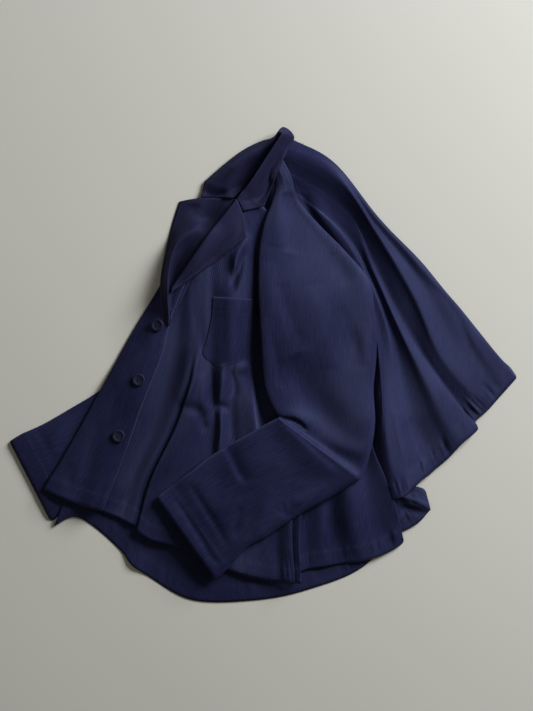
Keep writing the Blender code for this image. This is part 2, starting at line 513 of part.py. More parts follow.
def button_object(name, centre, pile, material):
    """A turned button with a raised rim, lying on the cloth and tilted with it."""
    x, y = centre
    reach = np.array([[0, 0], [1, 0], [-1, 0], [0, 1], [0, -1]]) * BUTTON_RADIUS
    height = pile.under(x + reach[:, 0], y + reach[:, 1], 1)
    slope_x = (height[1] - height[2]) / (2 * BUTTON_RADIUS)
    slope_y = (height[3] - height[4]) / (2 * BUTTON_RADIUS)
    tilted = height[0] + slope_x * reach[:, 0] + slope_y * reach[:, 1]
    base = height[0] + (height - tilted).max()
    points = [(BUTTON_RADIUS * share * MM, 0.0, BUTTON_THICKNESS * rise * MM) for share, rise in BUTTON_RINGS]
    mesh = bpy.data.meshes.new(name)
    mesh.from_pydata(points, [(i, i + 1) for i in range(len(points) - 1)], [])
    mesh.materials.append(material)
    thing = bpy.data.objects.new(name, mesh)
    jacket.objects.link(thing)
    turning = thing.modifiers.new("turning", "SCREW")
    turning.steps = BUTTON_SIDES
    turning.render_steps = BUTTON_SIDES
    turning.use_merge_vertices = True
    turning.merge_threshold = 0.00001
    thing.location = (x * MM, y * MM, base * MM)
    thing.rotation_euler = (math.atan(slope_y), -math.atan(slope_x), 0.0)
    return thing


for old in list(bpy.data.objects):
    bpy.data.objects.remove(old, do_unlink=True)

jacket = bpy.data.collections.new("swing_jacket")
bpy.context.scene.collection.children.link(jacket)

drill = cloth_material("navy_cotton_drill", CLOTH_COLOUR, 0.9)
button_stuff = cloth_material("navy_horn_button", BUTTON_COLOUR, 0.45)

pile = Pile()

sleeve_right = tube(SLEEVE_RIGHT, 40.0, 1, True)
sheet_object("sleeve_right", sleeve_right, drill, pile, True)

back = lay(panel(BACK, 22.0, 3), pile)
sheet_object("back", back, drill, pile)

front_left = lay(panel(FRONT_LEFT, 20.0, 3), pile)
sheet_object("front_left", front_left, drill, pile)

front_right = lay(panel(FRONT_RIGHT, 22.0, 3), pile)
sheet_object("front_right", front_right, drill, pile)

pocket_lines = np.array([[row[1], row[2]] for row in POCKET], float)
shares = np.linspace(0, 1, 6)
pocket_lines = pocket_lines[:, :1] + shares[None, :, None] * (pocket_lines[:, 1:] - pocket_lines[:, :1])
pocket = np.zeros(pocket_lines.transpose(1, 0, 2).shape[:2] + (3,))
pocket[..., :2] = pocket_lines.transpose(1, 0, 2)
pocket[..., 2] = pile.under(pocket[..., 0], pocket[..., 1], 1) + WALL
sheet_object("pocket", pocket, drill, pile)

facing_right = lay(panel(FACING_RIGHT, 20.0, 3), pile)
right_lapel = sheet_object("facing_right", facing_right, drill, pile, seated=True)

# The left lapel, the left sleeve and the collar lie side by side on the same layers.
bare = pile.copy()
facing_left = lay(panel(FACING_LEFT, 20.0, 3), bare)
left_lapel = sheet_object("facing_left", facing_left, drill, bare, seated=True)

sleeve_left = settle_tube(tube(SLEEVE_LEFT, 30.0, 2, False), pile, 12)
sheet_object("sleeve_left", sleeve_left, drill, pile, True, 1)

collar = settle(panel(COLLAR, 12.0, COLLAR_STEPS), pile, WALL)
neck = sheet_object("collar", collar, drill, pile, False, 1, seated=True)
right_top = points_of(right_lapel, facing_right.shape)[:, 0]
left_top = points_of(left_lapel, facing_left.shape)[:, 0]
level_ends(neck, collar.shape, right_top, left_top, COLLAR_STEPS, COLLAR_REACH)

for button_name, button_centre in BUTTONS:
    button_object(button_name, button_centre, pile, button_stuff)
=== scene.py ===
"""A navy cotton drill swing jacket lying on a pale surface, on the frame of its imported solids.

Lengths in the tables are millimetres and finished meshes are metres.  A panel is a table of lines
drawn down the cloth, as in the solids' source; a smooth surface is passed through them on a grid of
(place across, place down), its creases, hems and puckers are added along its own normal, and it is
laid on a height map of all the layers under it.
"""
import math

import bpy
import mathutils
import numpy as np
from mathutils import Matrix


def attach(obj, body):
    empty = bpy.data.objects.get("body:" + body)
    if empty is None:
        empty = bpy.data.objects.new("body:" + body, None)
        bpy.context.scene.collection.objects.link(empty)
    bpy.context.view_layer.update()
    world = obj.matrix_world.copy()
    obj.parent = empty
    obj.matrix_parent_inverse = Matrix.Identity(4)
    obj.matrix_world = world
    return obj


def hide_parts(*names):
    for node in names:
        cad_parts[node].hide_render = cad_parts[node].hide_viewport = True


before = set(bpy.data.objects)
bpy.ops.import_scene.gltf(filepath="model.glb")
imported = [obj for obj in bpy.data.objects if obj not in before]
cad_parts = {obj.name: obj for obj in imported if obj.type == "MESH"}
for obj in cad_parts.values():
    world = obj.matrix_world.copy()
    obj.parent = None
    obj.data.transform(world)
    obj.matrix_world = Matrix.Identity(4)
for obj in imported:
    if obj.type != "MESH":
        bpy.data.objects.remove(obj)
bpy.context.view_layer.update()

MM = 0.001
PHOTO = (533, 711)              # the photograph's frame in pixels
PIXEL = 1.5                     # millimetres a pixel
ORIGIN_PIXEL = (263.5, 363.8)   # the pixel over the origin

WALL = 1.2              # the solids' cloth, whose outer side the tables give
CLOTH = 0.9             # the drill drawn here, with its hems and seams
POCKET_CLOTH = 0.5      # the single drill of the pocket
POCKET_LIFT = 0.15      # air between the pocket and the front it is sewn to
GAP = 0.35              # air between one layer and the next

CELL = 3.0              # cell of the height map that layers are laid on
FILL = 0.6 * CELL       # a surface is put on the map as points closer together than this
SPREAD = 3              # cells by which a lower layer holds up the cloth around it
HALF_SPAN = 440.0       # half the side of the height map
BARE = 0.01             # a cell lower than this has no cloth on it

LEFT_ROUNDING = 2.2     # a flattened sleeve turns over within this at its pressed left edge
RIGHT_ROUNDING = 6.0    # and within this at its softer right edge, but at most
RIGHT_SHARE = 0.2       # within this share of its width
TUBE_PLACES = (0.22, 0.5, 0.78)     # shares of its width where its three heights between are
TUBE_RISE = 0.8                     # share of its height that it has where its roundings end
TUBE_DEPTH = 2 * WALL + 2.0         # from a flattened sleeve's upper side to its lower side
TUBE_CLEARANCE = 0.3                # air under a sleeve laid on the body, besides the gap
TUBE_UPPER = (3, 9, 12, 12, 9, 3)   # steps of a sleeve's grid over its upper side, left end to right
TUBE_LOWER = (2, 4, 4, 4, 4, 2)     # and back underneath
RIGHT_END = sum(TUBE_UPPER)         # the place of the right end on that grid
SLEEVES = ("sleeve_left", "sleeve_right")
UP = (0.0, 0.0, 1.0)
LOWEST_CREASE = 1.5     # a crease lowers no cloth below this height
SEAM_STEPS = 8          # steps of a seam's line between its points

# These pieces get a darker, browner copy of the drill. Its colour is painted shade for the shade they lie in
# round the neck. Its lower gloss is the pressed cloth's own duller sheen.
PRESSED_AND_SHADED = ("collar", "facing_left", "facing_right")     # pressed flat over an interlining, so duller

# BACK.  From the left side seam, over the folds that show, round the outer fold and back along the
# surface under the whole garment.  Stations: seam, yoke, high, middle, low, hem.
BACK = (
    ("side seam", (148, 112, 4), (132, 45, 4), (112, -25, 4), (80, -112, 4), (41, -222, 7), (43, -329, 6)),
    ("pleat top", (150, 113, 4), (136, 46, 4), (118, -25, 4), (88, -114, 5), (57, -226, 13), (56, -330, 12)),
    ("pleat under", (151, 114, 4), (139, 47, 4), (122, -26, 4), (91, -115, 5), (53, -226, 7), (50, -319, 6)),
    ("panel start", (152, 115, 4), (141, 48, 4), (126, -26, 4), (95, -116, 5), (64, -226, 4), (62, -311, 4)),
    ("panel left", (153, 116, 4), (144, 50, 4), (132, -26, 4), (110, -116, 6), (86, -222, 8), (88, -306, 6)),
    ("trough", (154, 117, 4), (147, 52, 4), (138, -26, 4), (118, -118, 5), (101, -218, 4), (118, -301, 4)),
    ("swell", (155, 118, 4), (150, 53, 4), (146, -27, 4), (138, -118, 6), (127, -208, 15), (147, -297, 8)),
    ("panel right", (156, 119, 4), (153, 55, 4), (154, -28, 4), (150, -117, 4), (160, -203, 6.5),
     (182, -286, 5.5)),
    ("panel fold", (156, 120, 4), (155, 56, 4), (158, -28, 4), (162, -116, 8.5), (196, -202, 11),
     (211, -267, 4.5)),
    ("panel under", (157, 120, 4), (156, 57, 4), (159, -28, 4), (163, -115, 5), (190, -200, 5),
     (203, -256, 4.2)),
    ("curl start", (157, 121, 4), (157, 58, 4), (160, -27, 4), (165, -114, 4), (196, -198, 4),
     (212, -251, 3.6)),
    ("curl middle", (158, 122, 4), (158, 60, 4), (161, -27, 4), (167, -112, 4), (200, -194, 4),
     (232, -240, 4)),
    ("curl corner", (158, 123, 4), (159, 61, 4), (162, -26, 4), (168, -111, 4), (199, -190, 8),
     (251, -219, 9)),
    ("curl back", (158, 123, 4), (160, 62, 4), (163, -26, 4), (169, -110, 4), (196, -182, 7), (247, -203, 7)),
    ("curl end", (158, 124, 4), (160, 63, 4), (163, -25, 4), (169, -109, 4), (192, -174, 5), (240, -187, 5)),
    ("gap floor", (155, 126, 4), (158, 72, 4), (162, -5, 4), (164, -90, 4), (174, -158, 4.5), (197, -200, 5)),
    ("first edge", (150, 128, 4), (159, 82, 5), (165, 28, 6), (166, -60, 8), (173, -137, 10), (191, -205, 9)),
    ("first ridge", (126, 144, 5), (155, 108, 6), (170, 38, 8), (173, -48, 15), (182, -130, 17),
     (203, -202, 14)),
    ("strip", (36, 256, 6), (104, 197, 8), (149, 130, 11), (177, 48, 12), (191, -60, 15), (221, -190, 14)),
    ("second edge", (33, 268, 6), (113, 200, 8.5), (157, 129, 11), (187, 52, 12), (208, -60, 10),
     (243, -171, 7.5)),
    ("second under", (32, 272, 6), (115, 201, 6), (159, 130, 7), (189, 53, 6.5), (211, -59, 8),
     (247, -169, 6.5)),
    ("second valley", (32, 277, 6.5), (119, 204, 5.5), (161, 132, 5), (193, 55, 6), (220, -56, 6.5),
     (258, -159, 6)),
    ("third rise", (29, 283, 7), (123, 209, 6), (163, 134, 7), (197, 56, 9), (236, -49, 9.5),
     (277, -143, 7.5)),
    ("third crest", (28, 288, 8), (126, 215, 6.5), (165, 137, 10), (201, 57, 13), (250, -40, 16),
     (297, -121, 12)),
    ("third edge", (27, 293, 9), (128, 222, 7), (168, 141, 9), (207, 60, 10), (262, -27, 11), (323, -97, 6.5)),
    ("third under", (27, 296, 9), (128, 225, 7), (168.5, 143, 7), (208, 62, 8), (263.5, -25, 9),
     (320, -92, 5)),
    ("third valley", (27, 300, 9.5), (127, 230, 7.5), (169, 148, 6.5), (210, 66, 7), (265, -21, 8.5),
     (319, -87, 5)),
    ("fourth slope", (28, 308, 11), (123, 243, 10), (170, 165, 9), (214, 82, 10), (266.5, -15, 10),
     (325, -81, 5.5)),
    ("fourth rise", (29, 314, 12), (118, 260, 14), (170, 182, 12.5), (219, 95, 13.5), (269, -8, 12),
     (332, -75, 6.5)),
    ("fourth ridge", (30, 320, 12), (112, 277, 16.5), (170, 196, 16.5), (223, 106, 17.5), (273, 3, 14.5),
     (339, -68, 8)),
    ("fourth fall", (31, 326, 11), (107, 291, 14), (169, 207, 9), (230, 133, 7), (292, 28, 7.5),
     (354, -51, 6.5)),
    ("outer strip", (35, 332, 7), (103, 301, 9), (170, 219, 11), (235, 148, 9.5), (306, 52, 8),
     (372, -31, 5.5)),
    ("outer fold", (44, 337, 3), (101, 307, 3), (170, 224, 3), (237, 153, 3), (313, 62, 3), (381, -21, 3)),
    ("floor, outer", (38, 333, 0), (93, 300, 0), (162, 218, 0), (229, 147, 0), (305, 57, 0), (372, -27, 0)),
    ("floor, third", (34, 330, 0), (72, 262, 0), (120, 160, 0), (170, 60, 0), (230, -30, 0), (300, -104, 0)),
    ("floor, second", (30, 328, 0), (50, 240, 0), (80, 120, 0), (120, 0, 0), (170, -110, 0), (205, -205, 0)),
    ("floor, panel", (26, 326, 0), (30, 222, 0), (45, 90, 0), (70, -50, 0), (110, -180, 0), (160, -297, 0)),
    ("floor, seam", (20, 324, 0), (8, 215, 0), (10, 75, 0), (20, -70, 0), (40, -210, 0), (62, -341, 0)),
    ("floor, middle", (14, 322, 0), (-14, 212, 0), (-25, 65, 0), (-25, -80, 0), (-22, -220, 0),
     (-18, -356, 0)),
    ("floor, flare", (8, 320, 0), (-34, 212, 0), (-60, 60, 0), (-75, -85, 0), (-90, -220, 0), (-112, -354, 0)),
    ("floor, step", (4, 319, 0), (-48, 213, 0), (-84, 62, 0), (-115, -80, 0), (-145, -205, 0),
     (-176, -318, 0)),
    ("floor, wave", (2, 318, 0), (-54, 214, 0), (-92, 66, 0), (-130, -72, 0), (-165, -185, 0),
     (-198, -303, 3)),
    ("floor, after", (0, 317, 0), (-58, 215, 0), (-100, 72, 0), (-145, -60, 0), (-188, -165, 0),
     (-215, -281, 0)),
    ("floor, flank", (-4, 315, 0), (-64, 217, 0), (-112, 88, 0), (-170, -22, 0), (-228, -124, 0),
     (-284, -230, 0)),
    ("floor, end", (-6, 314, 0), (-68, 218, 0), (-118, 92, 0), (-190, -12, 0), (-260, -112, 0),
     (-315, -244, 0)),
)

# LEFT FRONT.  From the edge that buttons under the right front, over the folds, to the side seam.
# Stations: roll line or neck, chest, pocket, waist, low, hem.
FRONT_LEFT = (
    ("under edge", (-138, 100, 1.6), (-152, 76, 1.6), (-184, -10, 2), (-214, -90, 3), (-242, -163, 3),
     (-260, -214, 3)),
    ("button line", (-134, 108, 2.5), (-140, 74, 2.5), (-163, -5, 3), (-190, -88, 4), (-216, -165, 4),
     (-238, -224, 4)),
    ("strip", (-122, 126, 6), (-124, 84, 5.5), (-137, 6, 3), (-162, -84, 2.5), (-196, -168, 2.5),
     (-216, -233, 4)),
    ("strip slope", (-108, 146, 8), (-114, 94, 8.5), (-112, 21, 9.5), (-135, -80, 9.5), (-180, -178, 7.5),
     (-198, -242, 5.5)),
    ("first under", (-104, 152, 8), (-110, 97, 9.2), (-105, 22, 10.2), (-122, -77, 7.5), (-165, -175, 5),
     (-182, -247, 3.6)),
    ("first edge", (-100, 157, 9), (-106, 98, 9.5), (-99, 22, 10.8), (-126, -80, 12.5), (-171, -178, 11),
     (-190, -250, 8)),
    ("first ridge", (-94, 166, 9.5), (-99, 100, 10), (-93, 21, 10.5), (-114, -84, 15), (-154, -186, 14),
     (-170, -265, 9)),
    ("second ridge", (-86, 177, 9), (-88, 102, 10.5), (-86, 14, 10.5), (-92, -72, 13), (-120, -182, 10),
     (-140, -273, 8)),
    ("second valley", (-77, 190, 8), (-76, 104, 10), (-77, 7, 10), (-77, -80, 8), (-86, -172, 6),
     (-112, -283, 5)),
    ("third ridge", (-66, 206, 8), (-64, 105, 13), (-62, 5, 14), (-64, -76, 13), (-62, -172, 10),
     (-80, -298, 7)),
    ("third slope", (-56, 220, 8), (-50, 106, 17), (-50, 5, 15), (-50, -82, 8.5), (-44, -174, 7),
     (-46, -314, 5)),
    ("fourth ridge", (-44, 238, 9), (-36, 106, 15.5), (-38, 5, 12), (-31, -85, 13), (-26, -176, 7),
     (-22, -321, 6)),
    ("gap edge", (-30, 247, 9), (-17, 104, 11.5), (-24, 4, 9.5), (-13, -86, 15.5), (-8, -178, 7),
     (6, -326, 6)),
    ("gap floor", (-6, 240, 7), (-7, 101, 4.5), (-7, 3, 4), (-5, -88, 4), (8, -180, 5), (22, -328, 6)),
    ("below sleeve", (30, 205, 5), (34, 94, 4), (32, -2, 4), (22, -96, 4), (24, -196, 5), (34, -330, 6)),
    ("under sleeve", (90, 165, 4), (86, 70, 4), (74, -12, 4), (52, -104, 4), (36, -210, 4), (42, -331, 3)),
    ("side seam", (140, 122, 2), (136, 43, 2), (116, -27, 2), (84, -114, 2), (45, -223, 2), (47, -330, 2)),
)

# RIGHT FRONT.  From the side seam hidden underneath, round the outer fold, to the buttoned edge.
# Stations: under the lapel, break, chest, waist, low, hem.
FRONT_RIGHT = (
    ("hidden side", (-84, 200, 0), (-116, 110, 0), (-158, 28, 0), (-200, -58, 0), (-246, -136, 0),
     (-286, -206, 0)),
    ("hidden turn", (-96, 205, 0), (-144, 109, 0), (-182, 36, 0), (-228, -46, 0), (-274, -128, 0),
     (-316, -198, 0)),
    ("outer fold", (-103, 209, 2), (-161, 109, 2), (-200, 43, 3), (-246, -41, 3), (-288, -117, 3),
     (-331, -189, 3)),
    ("face", (-98, 205, 3), (-154, 106, 3), (-192, 39, 6), (-236, -45, 6), (-277, -122, 6), (-320, -194, 6)),
    ("face middle", (-92, 198, 5), (-143, 95, 6), (-178, 20, 7.5), (-212, -60, 7.5), (-250, -138, 7.5),
     (-286, -208, 7)),
    ("stitch line", (-88, 192, 6), (-139, 82, 6), (-160, 8, 7), (-190, -68, 7.5), (-222, -150, 7.5),
     (-251, -218, 7)),
    ("front edge", (-86, 188, 6), (-137, 70, 4), (-151, 16, 5.5), (-179, -56, 6), (-211, -146, 6),
     (-241, -221, 5.5)),
)

# RIGHT LAPEL, turned out.  From its outer edge over the roll line and down into the neck opening.
# Stations: gorge, four down the lapel, break.
FACING_RIGHT = (
    ("outer edge", (-127, 244, 1.4), (-136, 216, 1.4), (-146, 178, 1.4), (-155, 128, 1.4), (-154, 95, 1.4),
     (-144, 58, 1.6)),
    ("lapel", (-111, 247, 5), (-121, 215, 6), (-138, 180, 9), (-148, 134, 8), (-148, 96, 5), (-142, 57, 2)),
    ("roll line", (-92, 249, 7), (-108, 205, 11), (-132, 176, 16), (-142, 138, 15), (-143, 97, 9),
     (-141, 56, 2)),
    ("inside", (-70, 249, 4), (-92, 205, 3), (-119, 168, 3), (-136, 134, 2), (-139, 99, 3), (-139, 60, 2)),
    ("inner end", (-43, 247, 3), (-66, 213, 2), (-92, 175, 3), (-119, 139, 3), (-133, 110, 3), (-140, 66, 2)),
)

# LEFT LAPEL, turned out.  From the roll line to the outer edge.
# Stations: gorge and notch, four down the lapel, break.
FACING_LEFT = (
    ("roll line", (-40, 247, 9), (-60, 221, 15), (-78, 198, 18), (-99, 168, 17), (-120, 138, 12),
     (-138, 112, 3)),
    ("inner", (-36, 238, 9), (-52, 210, 13), (-70, 188, 15), (-93, 158, 14), (-118, 131, 10), (-138, 109, 3)),
    ("outer", (-32, 228, 7), (-43, 195, 8), (-62, 174, 8), (-88, 147, 7), (-117, 124, 5), (-138, 107, 3)),
    ("outer edge", (-25, 189, 4), (-41, 177, 4), (-62, 160, 4), (-88, 141, 4), (-117, 120, 3), (-139, 105, 2)),
)

# COLLAR.  One row for each section across it, from the right front end round the back of the neck
# to the left front end.  Stations: neck seam, roll line, middle of the fall, outer edge.
COLLAR = (
    ("right gorge", (-46, 248.3, 3), (-64, 249.9, 8), (-79, 250, 7), (-94, 249.9, 4)),
    ("right corner", (-38, 256, 2), (-58, 262, 11), (-74, 268, 9), (-89, 274, 4)),
    ("right side", (-25, 272, 2), (-44, 286, 14), (-51, 296, 11), (-56, 303, 4)),
    ("right neck", (-5, 294, 2), (-20, 308, 15), (-24, 317, 11), (-27, 324, 4)),
    ("right back", (8, 311, 3), (1, 322, 17), (-1, 330, 12), (-1, 336, 5)),
    ("back, right", (19, 324, 4), (14, 333, 22), (14, 337, 17), (14, 340, 8)),
    ("back", (27, 330, 5), (22, 345, 27), (25, 350, 22), (30, 355.5, 12)),
    ("back, left", (33, 326, 7), (26, 344, 28), (36, 344, 23), (46.5, 341, 11)),
    ("left back", (33, 313, 8), (17, 328, 28), (27, 326, 23), (40, 325, 11)),
    ("left neck", (25, 299, 8), (5, 310, 27), (17, 308, 22), (29.5, 304, 10)),
    ("left side", (12, 278, 7), (-9, 288, 26), (5, 284, 20), (18, 278, 9)),
    ("left front", (-8, 257, 7), (-25, 265, 24), (-8, 260, 17), (8, 255, 9)),
    ("left corner", (-18, 249, 8), (-34, 255, 22), (-18, 245, 15), (0.5, 235.5, 8)),
    ("left gorge", (-27, 243, 8), (-39.2, 247.4, 19), (-35.2, 238.4, 15), (-31.2, 228.4, 9)),
)

# SLEEVES.  One row for each section across the flattened tube.  Columns: name, left end (x, y),
# right end (x, y), heights of the upper side at the left end, three places between and the right
# end, and how far the lower side slips out past the right end (x, y).
SLEEVE_RIGHT = (
    ("cuff", (-382, -117), (-322, -234), (2.6, 4.2, 4.2, 4.2, 2.6), (8, -9)),
    ("hem stitch", (-364, -106), (-303, -224), (2.6, 4.2, 4.2, 4.2, 2.6), (4, -4)),
    ("wrist", (-330, -90), (-275, -210), (2.6, 5, 4.2, 4.2, 2.6), (0, 0)),
    ("forearm", (-290, -67), (-240, -190), (2.6, 4.2, 4.2, 4.2, 2.6), (0, 0)),
    ("below elbow", (-246, -40), (-195, -165), (2.6, 3.8, 3.8, 3.8, 2.6), (0, 0)),
    ("elbow", (-198, 0), (-120, -105), (2.6, 3.8, 3.8, 3.8, 2.6), (0, 0)),
    ("above elbow", (-158, 58), (-70, -20), (2.6, 3.8, 3.8, 3.8, 2.6), (0, 0)),
    ("upper arm", (-112, 122), (-30, 80), (2.6, 3.8, 3.8, 3.8, 2.6), (0, 0)),
    ("shoulder", (-80, 188), (-8, 165), (2.6, 3.8, 3.8, 3.8, 2.6), (0, 0)),
    ("neck end", (-55, 238), (-2, 232), (2.6, 3.8, 3.8, 3.8, 2.6), (0, 0)),
)
SLEEVE_LEFT = (
    ("neck end", (8, 293), (28, 307), (10, 11, 11, 10, 9), (0, 0)),
    ("collar edge", (17, 268), (42, 281), (12, 13, 12, 11, 9), (0, 0)),
    ("shoulder", (11, 243), (53, 245), (13, 16, 14, 12, 9), (0, 0)),
    ("upper seam", (0, 208), (82, 210), (17, 20, 18, 14, 9), (0, 0)),
    ("lower seam", (-7, 170), (122, 170), (20, 23, 21, 17, 10), (0, 0)),
    ("underarm", (-8, 120), (158, 124), (24, 26.5, 24, 19, 11), (0, 0)),
    ("upper arm", (-6, 65), (168, 66), (24, 27, 25, 19, 11), (0, 0)),
    ("middle arm", (-3, 15), (169, 14), (23, 26, 25, 19.5, 12), (0, 0)),
    ("above elbow", (1, -30), (165, -40), (22, 24, 21, 23, 13), (0, 0)),
    ("elbow top", (9, -56), (167, -88), (20, 22, 20, 25, 14), (0, 0)),
    ("tuck", (18, -72), (162, -125), (19, 21, 21, 24, 14), (0, 0)),
    ("elbow dip", (23, -79), (151, -163), (19, 21, 21, 20, 13), (0, 0)),
    ("elbow corner", (22, -81), (145, -173), (24, 26.5, 28, 26, 16), (0, 0)),
    ("below elbow", (18, -83), (124, -186), (22.5, 25, 26, 24, 15), (0, 0)),
    ("inner elbow", (4, -90), (98, -202), (20, 22.5, 23.5, 22, 14), (0, 0)),
    ("forearm", (-28, -107), (62, -221), (19, 22, 23, 21, 14), (0, 0)),
    ("seam pucker", (-58, -125), (30, -242), (18, 21, 22, 20, 13), (0, 0)),
    ("middle", (-86, -143), (2, -261), (17, 20, 21, 19, 12), (0, 0)),
    ("wrist", (-112, -163), (-24, -275), (16, 19, 20, 18, 11), (0, 0)),
    ("hem stitch", (-137, -182), (-50, -304), (11, 13, 14, 13, 9), (0, 0)),
    ("cuff", (-160, -200), (-72, -324), (12.5, 15, 16, 15, 10), (0, 0)),
)

# POCKET.  Sections from the opening down to the point: left end and right end (x, y).
POCKET = (
    ("opening", (-76, 101), (-15, 98)),
    ("hem stitch", (-78, 74), (-21, 70)),
    ("middle", (-85, 38), (-27, 34)),
    ("corners", (-91, 14), (-33, 5)),
    ("point", (-68, -5), (-62, -5)),
)

# BUTTONS, fastened through the right front: name, centre (x, y).
BUTTONS = (
    ("button_1", (-159.5, 58.0)),
    ("button_2", (-187.0, -24.0)),
    ("button_3", (-217.0, -108.0)),
)

# EDGES.  For each piece: edge of its grid, depth of the doubled cloth, how far it stands up, the
# lines of stitches in from the edge, height of the puckers and how far they reach.
EDGES = {
    "sleeve_right": (("first", 29, 0.6, (27.5,), 0.25, 12),),
    "back_under": (("hem", 25, 0.7, (23,), 0.9, 13),),
    "back": (("hem", 25, 0.8, (23,), 1.7, 12),),
    "front_left": (("hem", 25, 0.7, (23,), 0.5, 13),),
    "front_right": (("hem", 25, 0.7, (23,), 0.5, 13), ("last", 10, 0.5, (5, 9), 0.15, 8)),
    "facing_right": (("first", 6, 0.3, (5,), 0.1, 6),),
    "facing_left": (("last", 6, 0.3, (5,), 0.1, 6),),
    "sleeve_left": (("last", 29, 0.6, (27.5,), 0.3, 12),),
    "collar": (("hem", 6, 0.3, (5,), 0.1, 6),),
    "pocket": (
        ("top", 27, 0.3, (26, 22), 0.1, 8),
        ("first", 5, 0.05, (2.0,), 0, 1),
        ("last", 5, 0.05, (2.0,), 0, 1),
        ("hem", 5, 0.05, (2.0,), 0, 1),
    ),
}

# SEAMS.  For each piece: the lines (x, y) of the stitches sewn through a seam beside its edge.
SEAMS = {
    "sleeve_left": (
        ((24, 298), (31, 284), (37, 272), (42, 260), (47, 247), (57, 232), (68, 219), (79, 207), (94, 192),
         (114, 173), (135, 149), (151, 126)),
    ),
    "back": (
        ((61, 333), (55, 319), (48, 306), (40, 293)),
        ((57, 334), (51, 320), (44, 307), (37, 295)),
        ((43, 288), (47, 274), (53, 256), (61, 239), (72, 225)),
    ),
}

# SOFTNESS.  Height in mm of the gentle unevenness of each piece.
SOFTNESS = {
    "back": 0.9,
    "back_under": 0.4,
    "front_left": 0.8,
    "front_right": 0.6,
    "sleeve_left": 1.0,
    "sleeve_right": 0.4,
    "collar": 0.3,
    "facing_left": 0.3,
    "facing_right": 0.3,
    "pocket": 0.1,
}

